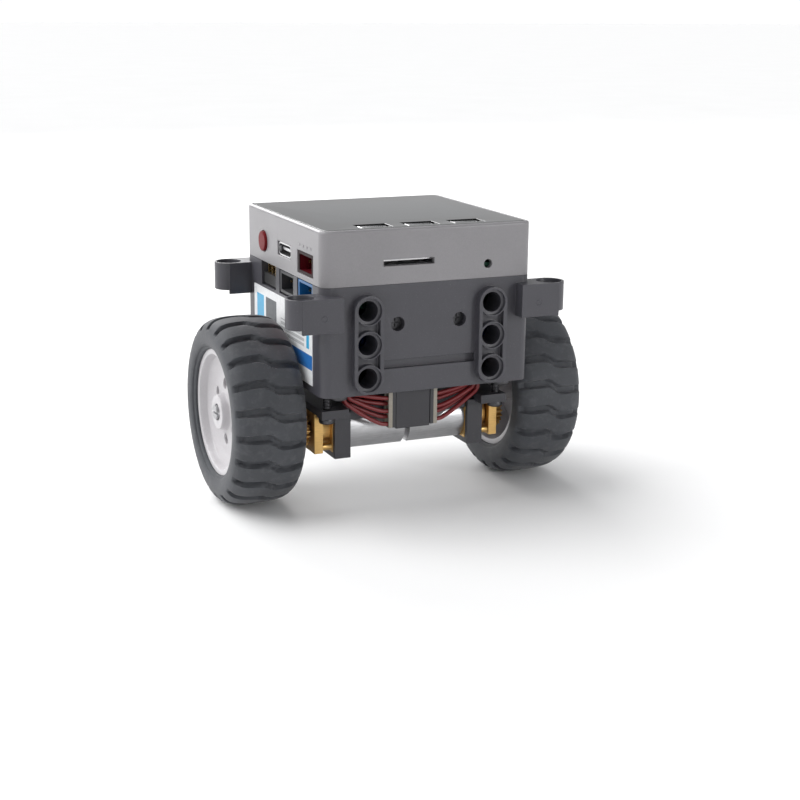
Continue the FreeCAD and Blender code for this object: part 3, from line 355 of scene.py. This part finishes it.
def red_port_material():
    """Deep red socket plastic, darkened partly as painted shade of the case's opening, with painted shade
    on the rim that faces out, which is coloured nearly black.
    """
    s = Shader("red_port_plastic")
    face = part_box("core_port_socket")[0].x / MM
    x, _, _ = s.axes()
    fine = s.noise(FINE_GRAIN, 2.0, 0.6)
    # the socket's own red, made deeper and darker as painted shade of the case's opening
    deep = s.ramp(fine, [(0.3, (0.080, 0.004, 0.008)), (0.7, (0.105, 0.005, 0.010))])
    # painted shade: the rim that faces out is coloured nearly black to stand in for the shade in the
    # case's opening
    rim = s.ramp(fine, [(0.3, (0.012, 0.002, 0.003)), (0.7, (0.017, 0.003, 0.004))])
    s.colour(s.mix(s.inside(x, (face + PAINTED_SHADE_BAND[0], face + PAINTED_SHADE_BAND[1])), deep, rim))
    s.roughness(fine, 0.34, 0.52)
    s.bump(fine, 0.008 * MM)
    s.constant(IOR=1.25)
    return s.material


# the pale layer about the plug's outer end
PALE_BAND = (-1.05, 2.5)


def plug_material():
    """Pale nylon plug whose inner part is dark, where it sits in the centre block."""
    s = Shader("plug_nylon")
    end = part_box("motor_plug_right")[1].x / MM
    x, _, _ = s.axes()
    fine = s.noise(FINE_GRAIN, 2.0, 0.6)
    pale = s.ramp(fine, [(0.3, (0.27, 0.245, 0.205)), (0.7, (0.33, 0.30, 0.25))])
    dark = s.ramp(fine, [(0.3, (0.030, 0.030, 0.034)), (0.7, (0.040, 0.040, 0.045))])
    outer = s.inside(s.math("ABSOLUTE", x), (end + PALE_BAND[0], end + PALE_BAND[1]))
    s.colour(s.mix(outer, dark, pale))
    s.roughness(fine, 0.38, 0.58)
    s.bump(fine, 0.01 * MM)
    return s.material


INK_RED = (0.62, 0.06, 0.04)
INK_CYAN = (0.03, 0.36, 0.62)
INK_BLUE = (0.02, 0.14, 0.42)
INK_BLACK = (0.04, 0.05, 0.06)
INK_GREY = (0.16, 0.17, 0.18)

# the label's printed blocks: along Y, down from its top edge, ink
LABEL_BLOCKS = (
    ((-20.9, -4.0), (0.0, 4.4), INK_RED),
    ((-18.9, -17.0), (5.6, 9.2), INK_CYAN),
    ((-20.9, 20.9), (10.4, 14.0), INK_BLUE),
    ((4.0, 12.0), (2.0, 8.6), INK_BLACK),
    ((13.4, 18.8), (2.0, 8.6), INK_CYAN),
)

# the grey rules' place along Y and down from the top edge, half their pitch, and their inked part
RULES_Y = (-15.6, 1.0)
RULES_DOWN = (5.2, 9.4)
RULE_GAP = 0.6
RULE_INK = (0.22, 0.62)


def label_material():
    """Printed side label: white ground with red, cyan and blue blocks and plain grey rules."""
    s = Shader("side_label_print")
    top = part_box("side_label")[1].z / MM
    _, y, z = s.axes()
    body = s.ramp(s.noise(900, 3.0), [(0.3, (0.72, 0.73, 0.74)), (0.7, (0.80, 0.81, 0.82))])
    for y_range, (start, end), ink in LABEL_BLOCKS:
        body = s.mix(s.patch(y, y_range, z, (top - end, top - start)), body, ink)
    rules_z = (top - RULES_DOWN[1], top - RULES_DOWN[0])
    rows = s.math("PINGPONG", s.math("SUBTRACT", z, rules_z[0] * MM), RULE_GAP * MM)
    rules = s.patch(rows, RULE_INK, z, rules_z)
    rules = s.math("MULTIPLY", rules, s.inside(y, RULES_Y))
    s.colour(s.mix(s.math("MULTIPLY", rules, 0.55), body, INK_GREY))
    s.roughness(s.noise(700, 3.0), 0.32, 0.48)
    s.bump(s.noise(2600, 2.0), 0.008 * MM)
    return s.material


# ------------------------------------------------------------------ materials

LIGHT_GREY = (0.235, 0.228, 0.238)
DARK_GREY = (0.053, 0.052, 0.062)
EVEN_LINES = (2500, 2500, 2500)

mats = {
    "core": moulded("core_plastic", LIGHT_GREY, rough=0.40, coat=0.08),
    "base": moulded(
        "base_plastic", DARK_GREY, rough=0.42, grain=0.016, grain_scale=4200, scuffs=0.4, marks=0.12
    ),
    "drive": moulded("drive_plastic", shade(DARK_GREY, 0.62), rough=0.5, grain=0.016, scuffs=0.4),
    "rim": moulded("rim_plastic", (0.50, 0.485, 0.50), rough=0.32, grain=0.006, scuffs=0.2, coat=0.15),
    "gear": moulded("gear_nylon", (0.70, 0.70, 0.66), rough=0.38, grain=0.006, scuffs=0.1),
    "keys": moulded("key_plastic", (0.030, 0.031, 0.034), rough=0.2, grain=0.003, scuffs=0.2, coat=0.5),
    "power": moulded(
        "power_key_plastic", (0.15, 0.010, 0.013), rough=0.45, grain=0.006, scuffs=0.2, ior=DULL_IOR
    ),
    "black": moulded("black_plastic", (0.014, 0.014, 0.015), rough=0.45, grain=0.01),
    "grey": moulded("grey_port_plastic", (0.035, 0.036, 0.040), rough=0.45, grain=0.01),
    "red": red_port_material(),
    "blue": moulded("blue_port_plastic", (0.008, 0.10, 0.27), rough=0.38, grain=0.008),
    "plug": plug_material(),
    # the leads' own red, darkened as painted shade for the shade they lie in
    "lead": moulded("lead_insulation", (0.17, 0.014, 0.016), rough=0.45, grain=0.004, scuffs=0.15),
    "battery": moulded("battery_sleeve", (0.02, 0.05, 0.2), rough=0.3, grain=0.01),
    "screen": moulded("screen_frame", (0.03, 0.03, 0.035), rough=0.3, grain=0.01),
    "tyre": rubber_material(),
    "glass": glass_material(),
    "brass": metal_material("brass_parts", (0.60, 0.385, 0.145), rough=0.36),
    "steel": metal_material("motor_steel", (0.46, 0.46, 0.47), rough=0.32),
    "dark_steel": metal_material("screw_steel", (0.09, 0.09, 0.095), rough=0.40, along=(3000, 3000, 900)),
    "gold": metal_material("gold_pins", (0.83, 0.58, 0.24), rough=0.22, along=EVEN_LINES),
    "shell": metal_material("socket_shell", (0.62, 0.62, 0.63), rough=0.26, along=(2500, 400, 2500)),
    "board": board_material(),
    "label": label_material(),
}


# ------------------------------------------------------------------ mesh helpers

SHARP_ANGLE = 38.0
WELD = 0.001


def new_object(name, bm, material, smooth_angle=SHARP_ANGLE):
    """Turns a bmesh into an object, smooth except across edges sharper than an angle."""
    mesh = bpy.data.meshes.new(name)
    limit = math.radians(smooth_angle)
    for face in bm.faces:
        face.smooth = True
    for edge in bm.edges:
        edge.smooth = len(edge.link_faces) == 2 and edge.calc_face_angle(0.0) < limit
    bm.to_mesh(mesh)
    bm.free()
    if "custom_normal" in mesh.attributes:
        mesh.attributes.remove(mesh.attributes["custom_normal"])
    mesh.materials.clear()
    mesh.materials.append(material)
    made = bpy.data.objects.new(name, mesh)
    bpy.context.scene.collection.objects.link(made)
    return made


def body_name(node):
    """The body that a CAD node rides on."""
    return nodes[node]["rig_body"]


def refined(node, material, width):
    """A copy of a CAD node whose sharp edges get a small round, as a moulded or turned edge has."""
    bm = bmesh.new()
    bm.from_mesh(nodes[node].data)
    bmesh.ops.remove_doubles(bm, verts=bm.verts, dist=WELD * MM)
    limit = math.radians(SHARP_ANGLE)
    sharp = [e for e in bm.edges if len(e.link_faces) == 2 and e.calc_face_angle(0.0) > limit]
    bmesh.ops.bevel(
        bm,
        geom=sharp,
        offset=width * MM,
        offset_type="OFFSET",
        segments=2,
        profile=0.5,
        affect="EDGES",
        clamp_overlap=False,
        harden_normals=False,
    )
    # tight corners can push a rounded edge out a little, so every vertex is held in the CAD box
    low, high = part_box(node)
    for v in bm.verts:
        v.co = Vector([min(max(v.co[i], low[i]), high[i]) for i in range(3)])
    made = new_object(node + "_piece", bm, material)
    normals = made.modifiers.new("even_normals", "WEIGHTED_NORMAL")
    normals.keep_sharp = True
    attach(made, body_name(node))
    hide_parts(node)


def keep(node, material):
    """Shows a CAD node as it is, with a better material."""
    mesh = nodes[node].data
    mesh.materials.clear()
    mesh.materials.append(material)


def bridge(bm, rings, loop=False):
    """Joins each ring of vertices to the next with quads, and in a loop the last to the first."""
    following = rings[1:] + (rings[:1] if loop else [])
    for here, there in zip(rings, following):
        for i in range(len(here)):
            j = (i + 1) % len(here)
            bm.faces.new((here[i], here[j], there[j], there[i]))


def level_ring(bm, x, y, z, around, radius_at):
    """A level ring of vertices round (x, y), its radius a function of the part of a turn."""
    ring = []
    for k in range(around):
        radius = radius_at(k / around)
        angle = 2 * math.pi * k / around
        place = Vector((x + radius * math.cos(angle), y + radius * math.sin(angle), z))
        ring.append(bm.verts.new(place * MM))
    return ring


def smooth_curve(points, per_span):
    """Catmull-Rom points through a list of 2-D points."""
    pts = [Vector(p) for p in points]
    out = []
    for i in range(len(pts) - 1):
        a = pts[max(i - 1, 0)]
        b, c = pts[i], pts[i + 1]
        d = pts[min(i + 2, len(pts) - 1)]
        for k in range(per_span):
            t = k / per_span
            bend = (2 * a - 5 * b + 4 * c - d) * t**2
            twist = (3 * b - a - 3 * c + d) * t**3
            out.append(0.5 * ((2 * b) + (c - a) * t + bend + twist))
    out.append(pts[-1])
    return out


def step_between(value, low, high):
    """0 below low, 1 above high, and a smooth step from one to the other."""
    t = min(1.0, max(0.0, (value - low) / (high - low)))
    return t * t * (3 - 2 * t)


# ------------------------------------------------------------------ tyres

# round the tyre
TREAD_PITCHES = 22
STEPS_PER_PITCH = 26
PITCH_LENGTH = 6.6

# a groove: its depth, where its wall starts and ends, and how far it steps round the tyre, in
# pitches, over the middle strip and towards the shoulders
GROOVE_DEPTH = 1.3
GROOVE_WALL = (0.78, 1.05)
GROOVE_SWEEP = 0.32
SWEEP_HALF = 2.2
SHOULDER_LEAN = 0.05
CROWN_HALF = 8

# grooves are shallower over the middle, and run out at the shoulders and down the side wall
SHALLOW_HALF = (0.3, 1.8)
SHALLOW_SHARE = 0.35
SHOULDER = (8.2, 8.8)
TREAD_RADII = (19.4, 20.4)

# half of the tyre's section, from the bead to the crown: (from the tyre's middle, radius)
POINTS_PER_SPAN = 5
TYRE_OUTLINE = [
    (7.4, 15.6),
    (7.9, 15.75),
    (8.2, 16.3),
    (8.55, 16.5),
    (8.85, 17.2),
    (8.97, 18.5),
    (8.85, 19.7),
    (8.55, 20.6),
    (8.0, 21.45),
    (7.0, 22.25),
    (5.4, 22.8),
    (3.0, 23.1),
    (0.0, 23.18),
]


def tread_depth(across, turn):
    """How deep the tread is cut, in mm, at a place across the tyre and round it in pitches."""
    sweep = GROOVE_SWEEP * step_between(across, -SWEEP_HALF, SWEEP_HALF)
    sweep -= SHOULDER_LEAN * abs(across) / CROWN_HALF
    away = (turn - sweep) % 1.0
    away = min(away, 1.0 - away) * PITCH_LENGTH
    wall = 1.0 - step_between(away, *GROOVE_WALL)
    shallow = 1.0 - SHALLOW_SHARE * (1.0 - step_between(abs(across), *SHALLOW_HALF))
    shoulder = 1.0 - step_between(abs(across), *SHOULDER)
    return GROOVE_DEPTH * wall * shallow * shoulder


def outward_normals(outline):
    """The outward direction at each point of the tyre's section."""
    normals = []
    for i in range(len(outline)):
        before = outline[max(i - 1, 0)]
        after = outline[min(i + 1, len(outline) - 1)]
        along = (after - before).normalized()
        normals.append(Vector((along.y, -along.x)))
    return normals


def make_tyre(name, side):
    """A block-tread tyre: its section turned about the axle, with the grooves sunk as it goes round."""
    low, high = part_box(f"tyre_{name}")
    centre = (low + high) / 2
    half = smooth_curve(TYRE_OUTLINE, POINTS_PER_SPAN)
    outline = half + [Vector((-p.x, p.y)) for p in reversed(half[:-1])]
    normals = outward_normals(outline)
    bm = bmesh.new()
    steps = TREAD_PITCHES * STEPS_PER_PITCH
    rings = []
    for k in range(steps):
        angle = 2 * math.pi * k / steps
        ring = []
        for p, normal in zip(outline, normals):
            depth = tread_depth(-side * p.x, k / STEPS_PER_PITCH) * step_between(p.y, *TREAD_RADII)
            q = p - normal * depth
            place = Vector((side * q.x, q.y * math.sin(angle), q.y * math.cos(angle)))
            ring.append(bm.verts.new(centre + place * MM))
        rings.append(ring)
    bridge(bm, rings, loop=True)
    bmesh.ops.recalc_face_normals(bm, faces=bm.faces)
    tyre = new_object(f"tyre_{name}_piece", bm, mats["tyre"], smooth_angle=50.0)
    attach(tyre, f"{name}_wheel")
    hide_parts(f"tyre_{name}")


# ------------------------------------------------------------------ screws with threads

# vertices round a shank and a head, rows to a thread's pitch, the core's share of the crest's
# radius, and the socket's share of the head's height
THREAD_AROUND = 20
ROWS_PER_PITCH = 8
CORE_SHARE = 0.80
HEAD_AROUND = 36
SOCKET_SHARE = 0.62


def add_thread(bm, x, y, z_low, z_high, crest, pitch, start):
    """A threaded shank: a helix of crests round an upright core, closed at both ends."""
    core = crest * CORE_SHARE
    rows = int((z_high - z_low) / pitch * ROWS_PER_PITCH)
    rings = []
    for row in range(rows + 1):
        z = z_low + (z_high - z_low) * row / rows
        fade = min(step_between(z, z_low, z_low + pitch), step_between(z_high - z, 0.0, pitch))

        def radius_at(part, z=z, fade=fade):
            turn = ((z - z_low) / pitch - part + start) % 1.0
            edge = 1.0 - abs(turn * 2 - 1)
            return core + (crest - core) * edge * fade

        rings.append(level_ring(bm, x, y, z, THREAD_AROUND, radius_at))
    bridge(bm, rings)
    bm.faces.new(list(reversed(rings[0])))
    bm.faces.new(rings[-1])


def hexagon(part):
    """How far a hexagon with unit corners reaches at a part of a turn."""
    angle = (2 * math.pi * part + math.pi / 6) % (math.pi / 3) - math.pi / 6
    return math.cos(math.pi / 6) / math.cos(angle)


def add_head(bm, x, y, z_low, z_high, radius, socket):
    """A pan head with a hexagon socket on its underside and rounded edges."""
    socket_levels = (
        (socket, z_low + (z_high - z_low) * SOCKET_SHARE),
        (socket, z_low + 0.05),
    )
    round_levels = (
        (radius * 0.72, z_low),
        (radius * 0.90, z_low + 0.12),
        (radius, z_low + 0.42),
        (radius, z_high - 0.12),
        (radius - 0.1, z_high),
    )
    rings = []
    for reach, z in socket_levels:
        rings.append(level_ring(bm, x, y, z, HEAD_AROUND, lambda part, r=reach: r * hexagon(part)))
    for reach, z in round_levels:
        rings.append(level_ring(bm, x, y, z, HEAD_AROUND, lambda part, r=reach: r))
    bridge(bm, rings[::-1])
    bm.faces.new(rings[0])
    bm.faces.new(list(reversed(rings[-1])))


def make_upright_screws(node, corner, head_radius, head_low, head_high, shank, top, pitch, socket):
    """Four upright screws, one at each corner, with their heads below."""
    bm = bmesh.new()
    for sx in (-1, 1):
        for sy in (-1, 1):
            x, y = corner[0] * sx, corner[1] * sy
            add_head(bm, x, y, head_low, head_high, head_radius, socket)
            start = 0.1 * sx + 0.23 * sy
            add_thread(bm, x, y, head_high - 0.05, top, shank, pitch, start)
    bmesh.ops.recalc_face_normals(bm, faces=bm.faces)
    made = new_object(node + "_piece", bm, mats["dark_steel"], smooth_angle=40.0)
    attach(made, "base")
    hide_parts(node)


# ------------------------------------------------------------------ motor leads

LEAD_RADIUS = 0.53
LEADS_PER_FAN = 6
LEAD_ROWS = (-17.75, -16.65)
LEAD_START_X = 6.15
LEAD_BEND_X = 8.4
LOWEST_LEAD = 20.9
LEAD_STEP = 1.62
OUTER_LEAD_X = 17.9
OUTER_LEAD_TURN = 27.6
LEAD_END = 34.4


def lead_route(index, side):
    """One lead's (across, along Y, height) points: out of the plug, up the fan, into the base."""
    y = LEAD_ROWS[index % 2]
    low = LOWEST_LEAD + index * LEAD_STEP
    end_x = OUTER_LEAD_X - (index // 2) * 1.1
    turn_z = OUTER_LEAD_TURN + (index // 2) * 0.9
    span, rise = end_x - LEAD_BEND_X, turn_z - low
    bow = 0.12 * math.sin(index * 2.1 + side)
    return [
        (LEAD_START_X, y, low),
        (LEAD_START_X + 0.95, y, low),
        (LEAD_BEND_X, y, low + 0.25),
        (LEAD_BEND_X + span * 0.4, y, low + rise * 0.36 + bow),
        (LEAD_BEND_X + span * 0.75, y, low + rise * 0.72 + bow * 0.5),
        (end_x - 0.1, y, turn_z - 0.3),
        (end_x, y, turn_z + 1.6),
        (end_x, y, LEAD_END - 2.4),
        (end_x, y, LEAD_END),
    ]


def make_leads(name, side):
    """Red leads from the plug's outer side, fanned out and then up into the base."""
    curve = bpy.data.curves.new(f"motor_leads_{name}_piece", "CURVE")
    curve.dimensions = "3D"
    curve.bevel_depth = LEAD_RADIUS * MM
    curve.bevel_resolution = 4
    curve.resolution_u = 10
    curve.use_fill_caps = True
    for index in range(LEADS_PER_FAN):
        route = lead_route(index, side)
        spline = curve.splines.new("NURBS")
        spline.points.add(len(route) - 1)
        for point, (x, y, z) in zip(spline.points, route):
            point.co = (side * x * MM, y * MM, z * MM, 1.0)
        spline.order_u = 3
        spline.use_endpoint_u = True
    curve.materials.append(mats["lead"])
    made = bpy.data.objects.new(f"motor_leads_{name}_piece", curve)
    bpy.context.scene.collection.objects.link(made)
    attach(made, "base")
    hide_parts(f"motor_leads_{name}")


# ------------------------------------------------------------------ keys

KEY_FOOT_HEIGHT = 0.8
KEY_STEM = (3.8, 2.3)
KEY_CORNER = 0.35
CORNER_STEPS = 5
CORNERS = ((1, 1), (-1, 1), (-1, -1), (1, -1))

# the sloped edge round a key's top: (half width, half depth, below the top)
KEY_EDGE = (
    (3.8, 2.3, 0.42),
    (3.72, 2.22, 0.30),
    (3.22, 1.92, 0.04),
    (3.08, 1.80, 0.0),
)


def rounded_rectangle(bm, x, y, z, half_x, half_y):
    """A level ring of vertices round a rectangle with round corners."""
    ring = []
    for quarter, (sx, sy) in enumerate(CORNERS):
        for k in range(CORNER_STEPS):
            angle = math.pi / 2 * (quarter + k / (CORNER_STEPS - 1))
            across = x + sx * (half_x - KEY_CORNER) + KEY_CORNER * math.cos(angle)
            along = y + sy * (half_y - KEY_CORNER) + KEY_CORNER * math.sin(angle)
            ring.append(bm.verts.new(Vector((across, along, z)) * MM))
    return ring


def make_key(name):
    """A glossy front key with a broad sloped edge round its top, on its wider foot."""
    low, high = (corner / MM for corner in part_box(f"key_{name}"))
    x, y = (low.x + high.x) / 2, (low.y + high.y) / 2
    foot = ((high.x - low.x) / 2, (high.y - low.y) / 2)
    foot_top = low.z + KEY_FOOT_HEIGHT
    levels = [(*foot, low.z), (*foot, foot_top), (*KEY_STEM, foot_top)]
    levels += [(half_x, half_y, high.z - below) for half_x, half_y, below in KEY_EDGE]
    bm = bmesh.new()
    rings = [rounded_rectangle(bm, x, y, z, half_x, half_y) for half_x, half_y, z in levels]
    bridge(bm, rings)
    bm.faces.new(list(reversed(rings[0])))
    bm.faces.new(rings[-1])
    bmesh.ops.recalc_face_normals(bm, faces=bm.faces)
    made = new_object(f"key_{name}_piece", bm, mats["keys"], smooth_angle=25.0)
    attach(made, f"{name}_key")
    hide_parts(f"key_{name}")


# ------------------------------------------------------------------ small moulded marks

# how far the dashes stand out of the wall, start behind the socket's front and lie above it
DASH_COUNT = 4
DASH_SIZE = (0.12, 1.1, 0.55)
DASH_ROUND = 0.035
DASH_STAND = 0.02
DASH_START = 1.1
DASH_LIFT = 1.5
DASH_PITCH = 2.45


def make_marks():
    """Four raised dashes above the red socket, one to a pin."""
    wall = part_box("core_case")[0].x / MM
    low, high = (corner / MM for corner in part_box("core_port_socket"))
    bm = bmesh.new()
    for k in range(DASH_COUNT):
        made = bmesh.ops.create_cube(bm, size=1.0)
        y = low.y + DASH_START + k * DASH_PITCH
        place = Vector((wall - DASH_STAND, y, high.z + DASH_LIFT))
        bmesh.ops.scale(bm, verts=made["verts"], vec=Vector(DASH_SIZE) * MM)
        bmesh.ops.translate(bm, verts=made["verts"], vec=place * MM)
    bmesh.ops.bevel(bm, geom=bm.edges[:], offset=DASH_ROUND * MM, segments=2, profile=0.5, affect="EDGES")
    dashes = new_object("port_marks", bm, mats["core"])
    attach(dashes, "base")


# ------------------------------------------------------------------ the object

# nodes shown with rounded edges: material, width of the rounding in mm, slot
REFINED = {
    "core_case": ("core", 0.18, "core_shell"),
    "base_case": ("base", 0.10, "base_shell"),
    "base_cover": ("drive", 0.12, "base_shell"),
    "drive_frame": ("drive", 0.14, "base_shell"),
    "screen_glass": ("glass", 0.14, "screen_glass"),
    "power_key": ("power", 0.2, "keys"),
    "core_port_socket": ("red", 0.08, "red_plastic"),
    "blue_port_socket": ("blue", 0.08, "blue_plastic"),
    "black_port_socket": ("grey", 0.08, "black_plastic"),
    "servo_header": ("black", 0.08, "black_plastic"),
    "battery_pack": ("battery", 0.1, "battery_sleeve"),
}
for tag, _ in SIDES:
    REFINED[f"rim_{tag}"] = ("rim", 0.22, "rim")
    REFINED[f"motor_can_{tag}"] = ("steel", 0.25, "motor_steel")
    REFINED[f"gearbox_{tag}"] = ("brass", 0.1, "brass_parts")
    REFINED[f"motor_strap_{tag}"] = ("drive", 0.15, "base_shell")
    REFINED[f"motor_plug_{tag}"] = ("plug", 0.1, "white_plastic")
    REFINED[f"hub_screw_{tag}"] = ("steel", 0.12, "screws")

# nodes shown as they are, with their material
KEPT = {
    "main_board": "board",
    "key_board": "board",
    "driver_board": "board",
    "screen_module": "screen",
    "key_switches": "black",
    "power_switch": "black",
    "usb_socket": "shell",
    "card_socket": "shell",
    "unit_link_header": "black",
    "servo_pins": "gold",
    "socket_pins": "gold",
    "side_label": "label",
    "front_screws": "dark_steel",
    "axle_bushes": "brass",
}
for tag, _ in SIDES:
    KEPT[f"motor_shaft_{tag}"] = "steel"
    KEPT[f"pinion_{tag}"] = "brass"
    KEPT[f"wheel_gear_{tag}"] = "gear"
    KEPT[f"axle_{tag}"] = "steel"
    KEPT[f"axle_clip_{tag}"] = "dark_steel"

for node_name, (material_name, edge, slot_name) in REFINED.items():
    refined(node_name, mats[material_name], edge)
for node_name, material_name in KEPT.items():
    keep(node_name, mats[material_name])
for tag, direction in SIDES:
    make_tyre(tag, direction)
    make_leads(tag, direction)
make_upright_screws(
    "stack_screws",
    corner=(21.5, 23.3),
    head_radius=2.1,
    head_low=29.8,
    head_high=31.2,
    shank=1.25,
    top=63.1,
    pitch=0.8,
    socket=0.95,
)
make_upright_screws(
    "drive_screws",
    corner=(22.5, 18.2),
    head_radius=1.9,
    head_low=22.8,
    head_high=24.2,
    shank=1.0,
    top=35.0,
    pitch=0.7,
    socket=0.85,
)
for tag in ("left", "middle", "right"):
    make_key(tag)
make_marks()


# ------------------------------------------------------------------ floor, light, camera

FLOOR_SIZE = 6.0
SKY_STRENGTH = 1.03
SKY_TINT = (0.985, 0.99, 1.0)

# the sky's brightness by the upward part of the direction: white low down, so the background is
# white, and greyer above, which the glass reflects
SKY_STOPS = ((0.0, 1.0), (0.05, 0.92), (0.14, 0.60), (0.35, 0.48), (1.0, 0.40))

CAMERA_PLACE = (-150.68, -350.15, 122.26)
CAMERA_YAW, CAMERA_PITCH, CAMERA_ROLL = 23.93, 14.738, 0.596
CAMERA_LENS = 69.39
CAMERA_SENSOR = 36.0


def make_floor():
    """A broad, nearly white studio floor."""
    s = Shader("studio_floor")
    tone = s.noise(14, 3.0)
    s.colour(s.ramp(tone, [(0.3, (0.94, 0.94, 0.94)), (0.7, (0.96, 0.96, 0.96))]))
    s.roughness(tone, 0.6, 0.7)
    bm = bmesh.new()
    bmesh.ops.create_grid(bm, x_segments=2, y_segments=2, size=FLOOR_SIZE)
    floor = new_object("floor", bm, s.material)


def make_world():
    """A white studio sky that is greyer overhead."""
    world = bpy.data.worlds.new("studio")
    bpy.context.scene.world = world
    world.use_nodes = True
    tree = world.node_tree
    background = tree.nodes["Background"]
    background.inputs["Strength"].default_value = SKY_STRENGTH
    direction = tree.nodes.new("ShaderNodeTexCoord")
    split = tree.nodes.new("ShaderNodeSeparateXYZ")
    shade_by_height = tree.nodes.new("ShaderNodeValToRGB")
    band = shade_by_height.color_ramp
    while len(band.elements) < len(SKY_STOPS):
        band.elements.new(0.5)
    for element, (position, level) in zip(band.elements, SKY_STOPS):
        element.position = position
        element.color = (*(level * tint for tint in SKY_TINT), 1.0)
    tree.links.new(direction.outputs["Generated"], split.inputs[0])
    tree.links.new(split.outputs["Z"], shade_by_height.inputs["Fac"])
    tree.links.new(shade_by_height.outputs["Color"], background.inputs["Color"])


def add_lamp(name, data, place, target):
    """Puts a lamp in the scene, turned to its target. Places are in metres."""
    lamp = bpy.data.objects.new(name, data)
    lamp.location = place
    lamp.rotation_euler = (Vector(target) - Vector(place)).to_track_quat("-Z", "Y").to_euler()
    bpy.context.scene.collection.objects.link(lamp)


def make_sun():
    """A broad, even light from behind the left side, so the floor is as bright far off as near."""
    data = bpy.data.lights.new("soft_sun", "SUN")
    data.energy = 2.7
    data.angle = math.radians(55)
    add_lamp("soft_sun", data, (-0.62, 0.30, 0.75), (0, 0, 0))


def make_right_fill():
    """A narrow lamp on the right wheel and lug that fades out softly away from them."""
    data = bpy.data.lights.new("right_fill", "SPOT")
    data.energy = 34.0
    data.spot_size = math.radians(10)
    data.spot_blend = 1.0
    data.shadow_soft_size = 0.12
    add_lamp("right_fill", data, (0.55, -0.80, 0.30), (0.062, -0.02, 0.045))


def make_back_glint():
    """A low panel behind the car that glints on the glass."""
    data = bpy.data.lights.new("back_glint", "AREA")
    data.shape = "RECTANGLE"
    data.size, data.size_y = 0.6, 0.25
    data.energy = 4.0
    add_lamp("back_glint", data, (-0.02, 0.85, 0.45), (0, 0, 0.07))


def make_camera():
    """The photograph's view: in front of the left corner, a little above, with a long lens."""
    yaw, pitch, roll = (math.radians(a) for a in (CAMERA_YAW, CAMERA_PITCH, CAMERA_ROLL))
    ahead = Vector((math.sin(yaw) * math.cos(pitch), math.cos(yaw) * math.cos(pitch), -math.sin(pitch)))
    right = Vector((math.cos(yaw), -math.sin(yaw), 0.0))
    up = right.cross(ahead)
    rolled_right = right * math.cos(roll) + up * math.sin(roll)
    rolled_up = up * math.cos(roll) - right * math.sin(roll)
    data = bpy.data.cameras.new("camera")
    data.sensor_width = CAMERA_SENSOR
    data.lens = CAMERA_LENS
    data.clip_start = 0.01
    data.clip_end = 50.0
    camera = bpy.data.objects.new("camera", data)
    turn = Matrix((rolled_right, rolled_up, -ahead)).transposed().to_4x4()
    camera.matrix_world = Matrix.Translation(Vector(CAMERA_PLACE) * MM) @ turn
    bpy.context.scene.collection.objects.link(camera)
    bpy.context.scene.camera = camera


make_floor()
make_world()
make_sun()
make_right_fill()
make_back_glint()
make_camera()
bpy.context.scene.view_settings.view_transform = "Standard"

bpy.context.view_layer.update()
